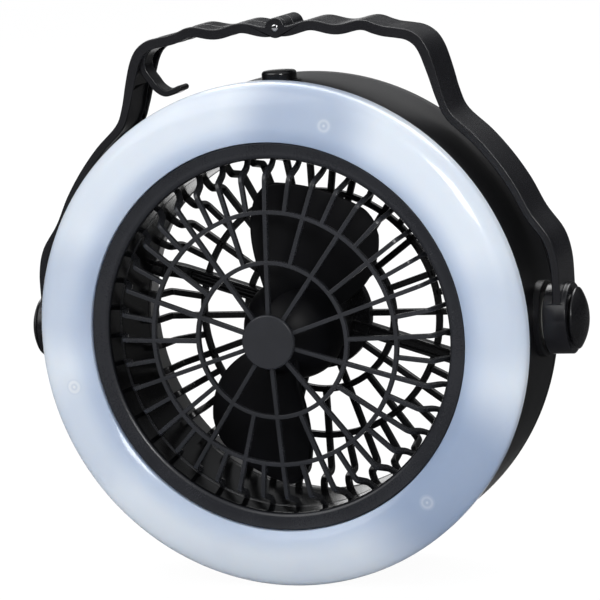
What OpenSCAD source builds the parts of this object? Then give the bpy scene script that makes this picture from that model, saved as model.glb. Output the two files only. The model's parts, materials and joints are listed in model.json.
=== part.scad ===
// Portable camping fan: a ring lamp round a caged two-blade impeller, with battery bays in the
// ring-shaped body, a swinging carry handle and a hanging hook folded into the handle's grip.
// Frame: +X to the right-hand knob, +Y from the front grille to the back, +Z up.
// Origin: on the surface that the fan stands on, under the middle of its bounding box.

/* [Body] */
// Outer diameter of the lamp ring
lens_d = 200; // [200:1:208]
// Wall of the lamp's diffuser
lens_wall = 2; // [1.6:0.1:2.4]
// Bore of the air duct
duct_d = 140; // [134:1:140]
// Depth from the bezel's plane to the rear face
body_depth = 70; // [68:1:76]
// Wall of the body shell
shell_wall = 2.5; // [2:0.1:3]
// Radius of the rear edge's rounding
rear_round = 12; // [9:0.5:12]

/* [Lamp] */
// Number of light-emitting diodes
led_count = 18; // [9:1:20]
// Side of a diode's package
led_w = 3.5; // [2.8:0.1:4]

/* [Grilles] */
// How far the front cap stands out from the bezel's plane
cap_reach = 9.2; // [8.6:0.1:11]
// Diameter of the front cap
cap_d = 21.4; // [18:0.2:24]
// Width of a front rib
rib_w = 1.7; // [1.2:0.1:2.2]
// Width of a rear rib
rear_rib_w = 2.6; // [1.6:0.1:3]
// Width of the two struts that carry the motor
strut_w = 5.6; // [5:0.2:7]

/* [Fan] */
// Diameter over the blades
impeller_d = 120; // [112:1:121]
// Thickness of a blade
blade_t = 1.8; // [1.4:0.1:2.2]
// Diameter of the motor's can
motor_d = 28; // [26:0.5:28]
// Diameter of the motor's shaft
shaft_d = 2; // [1.6:0.1:2.4]

/* [Handle] */
// Depth of the handle's strap
handle_depth = 24; // [22:0.5:26]
// Thickness of the strap in the arms
strap_t = 3.2; // [2.8:0.1:3.4]
// Thickness of the strap in the grip
grip_t = 4; // [3.6:0.1:4.4]
// Width of the hook's bar, front to back
hook_depth = 9; // [7:0.2:9.6]
// Diameter of the hook's pin
pin_d = 3; // [2.4:0.1:3.4]
// Diameter of the side knobs
knob_d = 24.2; // [22:0.2:26]

/* [Controls and power] */
// Diameter of the push button
button_dia = 13.8; // [12:0.2:15]
// Travel of the push button
button_travel = 2; // [1.5:0.1:2.2]
// Diameter of a battery cell
cell_d = 14.2; // [13.8:0.1:14.3]

/* [Hidden] */
$fn = 96;

// Clearances
slip = 0.02;
seam = 0.25;
run_gap = 0.3;
bury = 0.4;

// Radii of the body, from the lamp ring inwards
lens_r = lens_d / 2;
shell_r = lens_r - 2;
shell_in = shell_r - shell_wall;
duct_r = duct_d / 2;
duct_wall = 2;
bezel_r = duct_r + 6.6;
bezel_lip = 0.8;

// Depths along the fan's axis, from the bezel's plane at 0 to the rear face
bezel_y = 0.3;
bezel_dish = 0.9;
flange_y = 5;
flange_t = 2.5;
lens_end = 9;
board_y = 10;
board_t = 1.5;
bulk_y = board_y + board_t;
bulk_t = 2;
bezel_end = 13;
front_rim_y = 13.2;
front_rim_t = 2.6;
rim_reach = 3.4;
duct_start = front_rim_y + front_rim_t + 0.2;
rear_rim_y = 44;
rear_rim_t = 2.6;
shell_end = body_depth - 14;
flare_start = rear_rim_y + rear_rim_t + 0.2;
flare_r = duct_r + 5;
cover_wall = 2.2;

// The frame: the middle of the depth and the height of the fan's axis
mid_y = (body_depth - cap_reach) / 2;
axis_z = lens_r;

// Lamp ring
crown_r = lens_r - 16;
crown_y = -3;
foot_drop = 2.6;
shoulder_y = 5.4;
shoulder_power = 2.3;
post_r = 2.75;
post_ring = lens_r - 13;
post_angles = [72, 192, 312];
led_ring = lens_r - 12;
led_h = 0.9;
lens_screw_r = 1.1;

// Front grille
ring1_r = 30.45;
ring2_r = 49.85;
ring1_y = -4.85;
ring2_y = -2.4;
knuckle = [duct_r - 6.6, 1];
ankle = [duct_r - 3.3, 10.4];
rib_t = 2.5;
cap_rib_y = -7.3;

// Rear grille
rear_ring1 = 31;
rear_ring2 = 50;
rear_y = 55;
rear_t = 2.4;
rear_knuckle = duct_r - 5.6;
rear_ankle = [duct_r - 3.6, 45.6];
rear_turn_mid = duct_r - 12;
seat_r = 22;
strut_turn = 162;
strut_t = 5;
strut_turn_r = 9.5;
channel_w = 3;
channel_t = 2.4;
wire_y = rear_y + rear_t - strut_t + channel_t / 2;
wire_r = 0.68;

// Motor and impeller
motor_r = motor_d / 2;
can_y = 30;
can_end = 52;
can_wall = 1.2;
shaft_r = shaft_d / 2;
bush_r = 3.2;
clamp_t = 1.6;
clamp_ring = 17.2;
clamp_angles = [72, 252];
clamp_post_r = 2.6;
motor_screw_r = 1;
hub_r = 20.5;
nose_y = 3;
hub_end = 25;
hub_wall = 1.8;
hub_core = 4;
lead_x = 5.1;
blade_y = 6.4;
blade_reach = 17.2;
impeller_r = impeller_d / 2;

// Handle pivot
pivot_y = 37;
boss_r = 15;
boss_x = shell_r + 2.2;
washer_t = 0.85;
eye_x = boss_x + 1;
eye_r = 14;
eye_end = eye_x + 9.3;
eye_floor = 3.6;
shoulder_r = 3.5;
recess_r = 7.2;
knob_r = knob_d / 2;
knob_x = eye_end + 0.9;
knob_reach = 4.6;

// Handle outline, as distances from the fan's axis for a lamp ring of 200 mm
fit = lens_r / 100;
arm_clear = 10;
arc_r = (shell_r + arm_clear) / fit;
grip_z = 120.1;
wave_h = 1;
wave_pitch = 21.8;
wave_crest = 14.3;
grip_half = 40;
handle_y = pivot_y - handle_depth / 2;
skin_t = 1.7;
cut_z = grip_z - 40;
cut_h = 60;
rim_w = 2.4;

// Hook
hook_drop = 1.5;
hook_z = grip_z - hook_drop;
hub_top_r = 4;
flange_w = 2.3;
slot_y = handle_y + flange_w;
hook_y = slot_y + 0.3;
slot_w = hook_depth + 0.6;
slot_x = grip_half + 21.1;
bar_t = 3;
tip_t = 2.4;

// Push button and switch
button_y = 26.5;
button_r = button_dia / 2;
button_top = shell_r + 3.9;
button_round = 1.1;
button_flange = 1.4;
flange_side = 1.3;
flange_top = shell_in - 0.75;
board_z = shell_in - 13.1;
switch_w = 8.5;
switch_h = 7;
plunger_r = 2;

// Batteries, in two pairs low in the ring
cell_r = cell_d / 2;
spring_room = 2.9;
end_room = 2.4;
cell_y = bulk_y + bulk_t + spring_room;
cell_len = body_depth - cover_wall - end_room - cell_y;
nub_r = 2.75;
nub_h = 1;
cell_ring = shell_in - 10.6;
cell_half = 5.3;
bay_angles = [247, 293];
bay_half = 11.6;
ear_turn = 18.4;
door_screw_turn = 15;
contact_t = 0.5;
bay_wall = 1.6;
cradle_ys = [24, 41];
cradle_t = 2;
rear_screw_ring = duct_r + 10;
rear_screw_angles = [35, 145, 215, 325, 270];
rear_screw_r = 1.4;
rear_post_r = 3.3;

// ---------- helpers ----------

// Points along an arc, from angle a0 to a1
function arc(cx, cy, r, a0, a1, n) =
    [for (i = [0:n]) let (a = a0 + (a1 - a0) * i / n) [cx + r * cos(a), cy + r * sin(a)]];

function unit(v) = v / norm(v);
function left_of(v) = [-v[1], v[0]];
function reversed(list) = [for (i = [len(list) - 1:-1:0]) list[i]];

// The path moved sideways by t, with mitred corners; t may be a list with one value a point
function moved(path, t) = [
    for (i = [0:len(path) - 1]) let (
        j = max(i, 1),
        k = min(i, len(path) - 2),
        a = left_of(unit(path[j] - path[j - 1])),
        b = left_of(unit(path[k + 1] - path[k])),
        n = unit(a + b),
        d = is_list(t) ? t[i] : t
    ) path[i] + n * d / (n * a)
];

// The path with every inner corner rounded, starting c before the corner and ending c after it
function bent(path, c) = concat([path[0]], [
    for (i = [1:len(path) - 2]) let (
        a = path[i] + c * unit(path[i - 1] - path[i]),
        b = path[i] + c * unit(path[i + 1] - path[i])
    ) for (u = [0:0.25:1]) (1 - u) * (1 - u) * a + 2 * u * (1 - u) * path[i] + u * u * b
], [path[len(path) - 1]]);

// The outline of a band of thickness t along a path
function ribbon(path, t) = concat(moved(path, t / 2), reversed(moved(path, -t / 2)));

// A smooth curve through the points, with n steps between neighbours
function spline_at(p, i, u) = let (
    a = p[max(i - 1, 0)],
    b = p[i],
    c = p[i + 1],
    d = p[min(i + 2, len(p) - 1)]
) 0.5 * ((2 * b) + (c - a) * u + (2 * a - 5 * b + 4 * c - d) * u * u
    + (3 * b - a - 3 * c + d) * u * u * u);
function spline(p, n) = concat(
    [for (i = [0:len(p) - 2]) for (s = [0:n - 1]) spline_at(p, i, s / n)],
    [p[len(p) - 1]]
);

// Fan space: x to the right, y up from the fan's axis, z the depth from the bezel's plane
module fan_space() {
    translate([0, -mid_y, axis_z]) rotate([90, 0, 0]) mirror([0, 0, 1]) children();
}

// A ring or disc from its half section, given as [radius, depth]
module turned(section) {
    rotate_extrude($fn = 144) polygon(section);
}

module tube(r_out, r_in, y0, y1) {
    translate([0, 0, y0]) difference() {
        cylinder(r = r_out, h = y1 - y0);
        translate([0, 0, -1]) cylinder(r = r_in, h = y1 - y0 + 2);
    }
}

module rod(r, y0, y1) {
    translate([0, 0, y0]) cylinder(r = r, h = y1 - y0);
}

// Puts its children at a radius and an angle about the fan's axis
module at_polar(r, angle) {
    rotate([0, 0, angle]) translate([r, 0, 0]) children();
}

// A flat bar standing on the [radius, depth] outline, w wide across
module radial_bar(outline, w, angle) {
    rotate([0, 0, angle]) rotate([90, 0, 0]) linear_extrude(w, center = true) polygon(outline);
}

// A ring sector between two angles
module sector(r_in, r_out, a0, a1, y0, y1) {
    translate([0, 0, y0]) linear_extrude(y1 - y0)
        polygon(concat(arc(0, 0, r_out, a0, a1, 12), arc(0, 0, r_in, a1, a0, 12)));
}

// Sideways space: z points along +X from the pivot line, on one side or the other
module pivot_space(side) {
    translate([0, pivot_y - mid_y, axis_z]) rotate([0, 90 * side, 0]) children();
}

// ---------- lamp ring ----------

function lens_outer(wall) = let (
    a = 16 - wall,
    b = shoulder_y - crown_y - wall
) [for (i = [0:14]) let (t = 90 * i / 14, c = pow(sin(t), 2 / shoulder_power))
    [crown_r + a * c, shoulder_y - b * pow(max(0, 1 - pow(c, shoulder_power)), 1 / shoulder_power)]];

function lens_inner_slope(y_off, r0) = [
    for (i = [0:5]) let (r = r0 + (crown_r - r0) * i / 6, u = (crown_r - r) / (crown_r - bezel_r))
    [r, crown_y + y_off + foot_drop * u * u]
];

module front_lens() color([0.86, 0.90, 0.94]) fan_space() {
    foot_r = bezel_r + 0.3;
    difference() {
        union() {
            turned(concat(
                lens_inner_slope(0, foot_r),
                lens_outer(0),
                [[lens_r, lens_end], [lens_r - lens_wall, lens_end]],
                reversed(lens_outer(lens_wall)),
                reversed(lens_inner_slope(lens_wall, foot_r + lens_wall)),
                [[foot_r + lens_wall, flange_y], [foot_r, flange_y]]
            ));
            for (a = post_angles) at_polar(post_ring, a) rod(post_r, crown_y + lens_wall / 2, board_y);
        }
        for (a = post_angles) at_polar(post_ring, a) rod(lens_screw_r + slip, 2, board_y + 1);
    }
}

module lens_screws() color([0.62, 0.63, 0.65]) fan_space()
    for (a = post_angles) at_polar(post_ring, a) {
        rod(lens_screw_r, 2.5, bulk_y + bulk_t);
        rod(2.2, bulk_y + bulk_t, bulk_y + bulk_t + 1.6);
    }

module front_bezel() color([0.21, 0.21, 0.23]) fan_space()
    turned(concat(
        [[duct_r + bezel_lip + 1.4, bezel_dish + bezel_y - 0.2], [bezel_r - 0.3, bezel_y],
            [bezel_r, bezel_y + 0.3], [bezel_r, flange_y], [bezel_r + 4.4, flange_y],
            [bezel_r + 4.4, flange_y + flange_t],
            [bezel_r + 1.9, flange_y + flange_t], [bezel_r + 1.9, bulk_y], [bezel_r - 0.1, bulk_y],
            [bezel_r - 0.1, flange_y + flange_t], [duct_r + duct_wall, flange_y + flange_t],
            [duct_r + duct_wall, bezel_end], [duct_r, bezel_end]],
        arc(duct_r + 2.2, bezel_dish + bezel_y + 2, 2.2, 180, 270, 6)
    ));

module led_board() color([0.90, 0.90, 0.88]) fan_space() difference() {
    tube(shell_in - 1.3, bezel_r + 2.4, board_y, board_y + board_t);
    for (a = post_angles) at_polar(post_ring, a) rod(lens_screw_r + run_gap, board_y - 1, bulk_y + 1);
}

module leds() color([0.97, 0.93, 0.70]) fan_space()
    for (i = [0:led_count - 1]) at_polar(led_ring, 360 * i / led_count)
        translate([-led_w / 2, -led_w / 2, board_y - led_h]) cube([led_w, led_w, led_h]);

// ---------- front grille ----------

// Depth of the ribs' front edge at a radius inside the second ring
function dome_y(r) = ring1_y + (ring2_y - ring1_y) * (r - ring1_r) / (ring2_r - ring1_r);

module front_grille() color([0.17, 0.17, 0.18]) fan_space() {
    cap_r = cap_d / 2;
    half = rib_t / 2;
    // Cap with a stepped side
    turned([
        [0, -cap_reach], [cap_r - 0.5, -cap_reach], [cap_r, 0.5 - cap_reach], [cap_r, 1.6 - cap_reach],
        [cap_r - 0.5, 1.6 - cap_reach], [cap_r - 0.5, 3 - cap_reach], [cap_r - 1, 3 - cap_reach],
        [cap_r - 1, 4.6 - cap_reach], [cap_r - 1.6, 4.6 - cap_reach], [cap_r - 1.6, ring2_y],
        [cap_r - 3.2, ring2_y], [cap_r - 3.2, 2.4 - cap_reach], [0, 2.4 - cap_reach]
    ]);
    tube(ring1_r + rib_w / 2, ring1_r - rib_w / 2, ring1_y, ring1_y + rib_t);
    tube(ring2_r + rib_w / 2, ring2_r - rib_w / 2, ring2_y, ring2_y + rib_t);
    tube(duct_r + rim_reach, duct_r, front_rim_y, front_rim_y + front_rim_t);
    inner = [[cap_r - 2, cap_rib_y + half], [ring1_r, ring1_y + half]];
    middle = [[ring1_r, ring1_y + half], [ring2_r, ring2_y + half]];
    outer = bent(
        [[ring2_r, ring2_y + half], knuckle, ankle, [duct_r + 0.6, front_rim_y + front_rim_t / 2]], 1.6
    );
    for (i = [0:9]) radial_bar(ribbon(inner, rib_t), rib_w, 90 + 36 * i);
    for (i = [0:19]) radial_bar(ribbon(middle, rib_t), rib_w, 90 + 18 * i);
    // The outer ribs' feet pass under the bezel's collar
    difference() {
        for (i = [0:39]) radial_bar(ribbon(outer, rib_t), rib_w, 90 + 9 * i);
        tube(duct_r + rim_reach, duct_r - 0.3, 0, front_rim_y);
    }
}

// ---------- body ----------

module pivot_boss(side) pivot_space(side) {
    translate([0, 0, shell_in - 1.5]) cylinder(r = boss_r, h = boss_x - shell_in + 1.5);
    translate([0, 0, shell_in - 9]) cylinder(r = 5, h = 9);
}

module bay_walls(centre) {
    for (s = [-1, 1]) rotate([0, 0, centre + s * bay_half])
        translate([flare_r + 0.6, -bay_wall / 2, bulk_y + bulk_t - bury])
            cube([shell_in - flare_r - 0.2, bay_wall, shell_end - 2.6 - bulk_y - bulk_t]);
    for (y = cradle_ys) difference() {
        sector(duct_r + 1, shell_in + bury, centre - bay_half, centre + bay_half, y, y + cradle_t);
        for (s = [-1, 1]) at_polar(cell_ring, centre + s * cell_half) rod(cell_r + run_gap, y - 1, y + 3);
    }
}

module middle_housing() color([0.10, 0.10, 0.11]) difference() {
    union() {
        fan_space() {
            turned([
                [duct_r, duct_start], [duct_r, rear_rim_y - 0.2], [duct_r + duct_wall, rear_rim_y - 0.2],
                [duct_r + duct_wall, duct_start + 2], [duct_r + 6, duct_start + 2],
                [duct_r + 6, bulk_y + bulk_t], [shell_in, bulk_y + bulk_t], [shell_in, shell_end],
                [shell_r, shell_end], [shell_r, lens_end + 0.3], [shell_r - 0.4, lens_end + 0.3],
                [shell_r - 0.4, 6.8], [shell_r - 2.2, 6.8], [shell_r - 3.4, bulk_y],
                [duct_r + 3.9, bulk_y], [duct_r + 3.9, duct_start]
            ]);
            for (a = rear_screw_angles) at_polar(rear_screw_ring, a)
                rod(rear_post_r, bulk_y + bulk_t - bury, shell_end - 0.3);
            for (a = bay_angles) bay_walls(a);
            for (s = [-1, 1]) translate([s * 12.5 - 1.5, duct_r + 0.8, button_y - 8])
                cube([3, board_z - duct_r - 0.8, 16]);
        }
        for (side = [-1, 1]) pivot_boss(side);
    }
    fan_space() {
        for (a = rear_screw_angles) at_polar(rear_screw_ring, a)
            rod(rear_screw_r + slip, shell_end - 12, shell_end + 1);
        for (a = post_angles) at_polar(post_ring, a)
            rod(lens_screw_r + run_gap, bulk_y - 1, bulk_y + bulk_t + 1);
        translate([0, shell_in - 4, button_y]) rotate([-90, 0, 0]) cylinder(r = button_r + run_gap, h = 12);
    }
    for (side = [-1, 1]) pivot_space(side)
        translate([0, 0, shell_in - 8]) cylinder(r = 2 + slip, h = 20);
}

module rear_pads() color([0.06, 0.06, 0.06]) fan_space() difference() {
    for (s = [-1, 1]) translate([s * 18 - 5, -axis_z, shell_end - 14]) cube([10, 6, 12]);
    translate([0, 0, shell_end - 20]) cylinder(r = shell_r + slip, h = 20, $fn = 360);
}

// Half section of the rear cover's shell
function cover_section() = concat(
    arc(shell_r - rear_round, body_depth - rear_round, rear_round, 0, 90, 10),
    [[flare_r + 0.8, body_depth], [flare_r, body_depth - 0.8], [duct_r, flare_start],
        [duct_r + duct_wall, flare_start], [flare_r + duct_wall, body_depth - cover_wall]],
    arc(shell_r - rear_round, body_depth - rear_round, rear_round - cover_wall, 90, 12, 9),
    [[shell_in - 1.8, shell_end + 2.4], [shell_in - 1.8, shell_end - 2.4],
        [shell_in - 0.2, shell_end - 2.4], [shell_in - 0.2, shell_end + 0.3], [shell_r, shell_end + 0.3]]
);

// A battery door's place, mirrored for the right-hand one; grow widens it for its opening
module door_sector(grow) {
    a0 = bay_angles[0] - bay_half - grow;
    a1 = bay_angles[0] + ear_turn + grow;
    sector(flare_r + 2.4 - grow, shell_r - 5 + grow, a0, a1, body_depth - 8, body_depth + 1);
}

module rear_cover() color([0.09, 0.09, 0.10]) fan_space() difference() {
    union() {
        difference() {
            turned(cover_section());
            for (s = [0, 1]) mirror([s, 0, 0]) door_sector(seam);
        }
        for (a = rear_screw_angles) at_polar(rear_screw_ring, a)
            rod(rear_post_r, shell_end, body_depth - cover_wall + bury);
        for (s = [0, 1]) mirror([s, 0, 0]) at_polar(rear_screw_ring, bay_angles[0] + door_screw_turn)
            difference() {
                translate([-4.2, -rear_post_r, shell_end + 4])
                    cube([4.2 + rear_post_r, 2 * rear_post_r, body_depth - cover_wall - shell_end - 4.02]);
                rod(rear_screw_r + slip, shell_end + 5, body_depth);
            }
    }
    for (a = rear_screw_angles) at_polar(rear_screw_ring, a) {
        rod(rear_screw_r + 0.2, shell_end - 1, body_depth + 1);
        rod(2.8, body_depth - 2.2, body_depth + 1);
    }
}

module housing_screws() color([0.62, 0.63, 0.65]) fan_space()
    for (a = rear_screw_angles) at_polar(rear_screw_ring, a) {
        rod(rear_screw_r, shell_end - 11, body_depth - 2.2);
        rod(2.6, body_depth - 2.2, body_depth - 0.6);
    }

// Outline of a strut, as [radius, depth]
function strut_outline() = let (
    y = rear_y + rear_t - strut_t / 2
) ribbon(concat([[motor_r + 1, y]], arc(rear_turn_mid, y - strut_turn_r, strut_turn_r, 90, 0, 6)), strut_t);

module rear_grille() color([0.07, 0.07, 0.08]) fan_space() difference() {
    half = rear_rib_w / 2;
    mid = rear_y + rear_t / 2;
    outer = bent([
        [rear_ring2, mid], [rear_knuckle, mid], rear_ankle, [duct_r + 0.6, rear_rim_y + rear_rim_t / 2]
    ], 1.8);
    union() {
        tube(rear_ring1 + half, rear_ring1 - half, rear_y, rear_y + rear_t);
        tube(rear_ring2 + half, rear_ring2 - half, rear_y, rear_y + rear_t);
        tube(duct_r + rim_reach, duct_r - 0.1, rear_rim_y, rear_rim_y + rear_rim_t);
        // Seat with a cup for the motor and two posts for its clamp
        rod(seat_r, rear_y - 2, rear_y + rear_t);
        tube(motor_r + 2, motor_r + slip, can_y + 1.5, rear_y - 1.5);
        for (a = clamp_angles) at_polar(clamp_ring, a) rod(clamp_post_r, can_y, rear_y - 1);
        for (i = [0:9]) radial_bar(
            ribbon([[seat_r - 1, mid], [rear_ring1, mid]], rear_t), rear_rib_w, 36 * i);
        for (i = [0:19]) radial_bar(
            ribbon([[rear_ring1, mid], [rear_ring2, mid]], rear_t), rear_rib_w, 18 * i);
        for (i = [0:39]) radial_bar(ribbon(outer, rear_t), rear_rib_w, 9 * i);
        for (i = [0, 1]) radial_bar(strut_outline(), strut_w, strut_turn + 180 * i);
    }
    for (a = clamp_angles) at_polar(clamp_ring, a) rod(motor_screw_r + slip, can_y - 1, can_y + 9);
    // A channel along the front of each strut
    for (i = [0, 1]) radial_bar(
        ribbon([[motor_r + 2, wire_y], [rear_turn_mid - 2, wire_y]], channel_t), channel_w,
        strut_turn + 180 * i);
}

// ---------- impeller and motor ----------

// The hub is a half ellipsoid that opens to the back
function hub_at(y) = hub_r * sqrt(max(0, 1 - pow((hub_end - y) / (hub_end - nose_y), 2)));
function hub_arc(r, reach, t0, t1) =
    [for (i = [0:12]) let (t = t0 + (t1 - t0) * i / 12) [r * sin(t), hub_end - reach * cos(t)]];

// The blade is a helical sheet: u runs from its leading to its trailing edge, v from root to tip
root_r = hub_r - 1;
function blade_tip(u) = let (e = max(0, abs(2 * u - 1) - 0.76) / 0.24)
    impeller_r - 3 * u - 5 * (1 - sqrt(max(0, 1 - e * e)));
function lead_turn(r) = r < root_r ? 90 + asin(lead_x / r)
    : 90 + asin(lead_x / root_r) - 13 * pow((r - root_r) / (impeller_r - root_r), 2.6);
function trail_turn(r) = 24 + 26 * pow(max(0, r - root_r) / (impeller_r - 3 - root_r), 1.9);
function blade_point(u, v, lift) = let (
    y = blade_y - v + (blade_reach + v) * pow(u, 0.92),
    root = hub_at(blade_y + blade_reach * pow(u, 0.92)) - 1.2,
    r = root + (blade_tip(u) - root) * v,
    a = lead_turn(r) + (trail_turn(r) - lead_turn(r)) * u
) [r * cos(a), r * sin(a), y + lift];

module blade() {
    nu = 16;
    nv = 8;
    row = nv + 1;
    top = (nu + 1) * row;
    points = [
        for (lift = [-blade_t * 0.56, blade_t * 0.56]) for (i = [0:nu]) for (j = [0:nv])
            blade_point(i / nu, j / nv, lift)
    ];
    function cell(i, j) = i * row + j;
    faces = concat(
        [for (i = [0:nu - 1]) for (j = [0:nv - 1]) each [
            [cell(i, j), cell(i + 1, j), cell(i + 1, j + 1)],
            [cell(i, j), cell(i + 1, j + 1), cell(i, j + 1)],
            [top + cell(i, j), top + cell(i + 1, j + 1), top + cell(i + 1, j)],
            [top + cell(i, j), top + cell(i, j + 1), top + cell(i + 1, j + 1)]
        ]],
        [for (i = [0:nu - 1]) each [
            [cell(i, 0), top + cell(i + 1, 0), cell(i + 1, 0)],
            [cell(i, 0), top + cell(i, 0), top + cell(i + 1, 0)],
            [cell(i, nv), cell(i + 1, nv), top + cell(i + 1, nv)],
            [cell(i, nv), top + cell(i + 1, nv), top + cell(i, nv)]
        ]],
        [for (j = [0:nv - 1]) each [
            [cell(0, j), cell(0, j + 1), top + cell(0, j + 1)],
            [cell(0, j), top + cell(0, j + 1), top + cell(0, j)],
            [cell(nu, j), top + cell(nu, j + 1), cell(nu, j + 1)],
            [cell(nu, j), top + cell(nu, j), top + cell(nu, j + 1)]
        ]]
    );
    polyhedron(points, faces);
}

module impeller() color([0.05, 0.05, 0.055]) fan_space() difference() {
    union() {
        turned(concat(
            hub_arc(hub_r, hub_end - nose_y, 0, 90),
            hub_arc(hub_r - hub_wall, hub_end - nose_y - hub_wall, 90, asin(hub_core / (hub_r - hub_wall))),
            [[hub_core, hub_end - 5], [0, hub_end - 5]]
        ));
        for (a = [0, 180]) rotate([0, 0, a]) blade();
    }
    rod(shaft_r + slip / 2, nose_y + 3, hub_end);
}

module motor_shaft() color([0.72, 0.73, 0.75]) fan_space() rod(shaft_r, nose_y + 3.4, can_end + 0.6);

module motor_rotor() color([0.45, 0.25, 0.12]) fan_space() {
    tube(9, shaft_r + slip / 2, can_y + 6, can_end - 7);
    tube(3, shaft_r + slip / 2, can_end - 7, can_end - 4.5);
}

module motor_can() color([0.60, 0.61, 0.63]) fan_space() {
    tube(motor_r, motor_r - can_wall, can_y, can_end);
    tube(motor_r - can_wall + 0.1, bush_r + slip, can_y, can_y + can_wall);
}

module motor_magnets() color([0.20, 0.20, 0.21]) fan_space() for (a = [20, 200])
    sector(motor_r - can_wall - 3, motor_r - can_wall - slip, a, a + 140, can_y + 4, can_end - 5);

module motor_end_cap() color([0.12, 0.12, 0.12]) fan_space()
    tube(motor_r - can_wall - slip, bush_r + slip, can_end - 2, can_end);

module motor_bushes() color([0.70, 0.55, 0.25]) fan_space() for (y = [can_y - 1, can_end - 3])
    tube(bush_r, shaft_r + 0.03, y, y + 3.5);

module motor_clamp() color([0.60, 0.61, 0.63]) fan_space() difference() {
    union() {
        rod(motor_r + 1, can_y - clamp_t, can_y);
        for (a = clamp_angles) at_polar(clamp_ring, a) rod(2.8, can_y - clamp_t, can_y);
    }
    rod(bush_r + 1, can_y - 3, can_y + 1);
    for (a = clamp_angles) at_polar(clamp_ring, a) rod(motor_screw_r + 0.2, can_y - 3, can_y + 1);
}

module motor_screws() color([0.62, 0.63, 0.65]) fan_space()
    for (a = clamp_angles) at_polar(clamp_ring, a) {
        rod(motor_screw_r, can_y - clamp_t, can_y + 8);
        rod(2 * motor_screw_r, can_y - clamp_t - 1.4, can_y - clamp_t);
    }

module motor_wires() color([0.55, 0.08, 0.06]) fan_space() for (s = [-1, 1])
    rotate([0, 0, strut_turn]) translate([motor_r + 2.2, s * (wire_r + slip), wire_y])
        rotate([0, 90, 0]) cylinder(r = wire_r, h = rear_turn_mid - motor_r - 4.6);

// ---------- button and switch ----------

module push_button() color([0.13, 0.13, 0.14])
    translate([0, button_y - mid_y, axis_z]) rotate_extrude() polygon(concat(
        [[0, flange_top - button_flange], [button_r + flange_side, flange_top - button_flange],
            [button_r + flange_side, flange_top], [button_r, flange_top]],
        arc(button_r - button_round, button_top - button_round, button_round, 0, 80, 5),
        [[0, button_top + 0.2]]
    ));

switch_top = axis_z + flange_top - button_flange;
module switch_plunger() color([0.85, 0.84, 0.80])
    translate([0, button_y - mid_y, switch_top - 5]) cylinder(r = plunger_r, h = 5);

module switch_body() color([0.15, 0.15, 0.16])
    translate([0, button_y - mid_y, axis_z + board_z + 1.6]) difference() {
        translate([-switch_w / 2, -switch_w / 2, 0]) cube([switch_w, switch_w, switch_h]);
        translate([0, 0, 1.2]) cylinder(r = plunger_r + 0.1, h = switch_h);
    }

module switch_board() color([0.10, 0.30, 0.16])
    translate([-15, button_y - mid_y - 9, axis_z + board_z]) cube([30, 18, 1.6]);

// ---------- batteries ----------

// Places one cell's children in each bay, the second of a pair turned end for end
module each_cell() {
    for (bay = bay_angles) for (s = [-1, 1]) at_polar(cell_ring, bay + s * cell_half)
        translate([0, 0, s > 0 ? 0 : 2 * cell_y + cell_len]) mirror([0, 0, s > 0 ? 0 : 1]) children();
}

module battery_cells() color([0.30, 0.45, 0.50]) fan_space() each_cell() {
    rod(cell_r, cell_y, cell_y + cell_len);
    rod(nub_r, cell_y + cell_len - bury, cell_y + cell_len + nub_h);
}

// Three touching turns that narrow towards the cell
module battery_springs() color([0.75, 0.76, 0.78]) fan_space() each_cell() for (i = [0:2])
    translate([0, 0, cell_y - 0.36 - 0.34 * i]) rotate_extrude()
        translate([3 + 0.7 * i, 0]) circle(r = 0.36, $fn = 24);

module battery_contacts() color([0.75, 0.76, 0.78]) fan_space() for (bay = bay_angles)
    for (y = [cell_y - 1.9, cell_y + cell_len + 1.4])
        sector(cell_ring - 4.5, cell_ring + 3, bay - 9, bay + 9, y, y + contact_t);

module battery_door() fan_space() difference() {
    intersection() {
        turned(cover_section());
        door_sector(0);
    }
    at_polar(rear_screw_ring, bay_angles[0] + door_screw_turn) {
        rod(rear_screw_r + 0.2, body_depth - 8, body_depth + 1);
        rod(2.6, body_depth - 1.2, body_depth + 1);
    }
}

module battery_door_left() color([0.09, 0.09, 0.10]) battery_door();

module battery_door_right() color([0.09, 0.09, 0.10]) mirror([1, 0, 0]) battery_door();

module door_screws() color([0.62, 0.63, 0.65]) fan_space() for (s = [0, 1])
    mirror([s, 0, 0]) at_polar(rear_screw_ring, bay_angles[0] + door_screw_turn) {
        rod(rear_screw_r, shell_end + 5.5, body_depth - 1.2);
        rod(2.4, body_depth - 1.2, body_depth - 0.2);
    }

// ---------- handle and hook ----------

// Height of the grip's top at x, with its finger waves
function grip_top(x) =
    grip_z - 1.5 * pow(x / grip_half, 6) + wave_h * cos(360 * (x - wave_crest) / wave_pitch);

// The strap's outer line on the right, from the pivot up and over to the middle of the grip
function arm_line() = spline(concat(
    [[108.5, -2], [108.5, 12], [108.2, 24], [105.6, 33.5]],
    [for (a = [23.5:6.5:49.5]) [arc_r * cos(a), arc_r * sin(a)]],
    [for (p = [[27, -31.1], [24.6, -21.3], [22.4, -13.7], [20, -8.9], [17.2, -6.1], [13.8, -4.3],
        [9.6, -3.4], [4.6, -2.6], [1, -1.5]]) p + [grip_half, grip_z]]
), 4);
function grip_line() = [for (x = [grip_half - 1.5:-1.75:0]) [x, grip_top(x)]];
function half_line() = concat(arm_line(), grip_line());
function other_side(path) = [for (i = [len(path) - 2:-1:0]) [-path[i][0], path[i][1]]];
function strap_line() = let (h = half_line()) fit * concat(h, other_side(h));
function depth_in(path, thin, thick) = [
    for (p = path) let (u = max(0, min(1, 2 + (p[1] / fit - grip_z) / 16))) thin + (thick - thin) * u
];

module strap_outline(thin, thick) {
    line = strap_line();
    polygon(concat(line, reversed(moved(line, depth_in(line, thin, thick)))));
}

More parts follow.
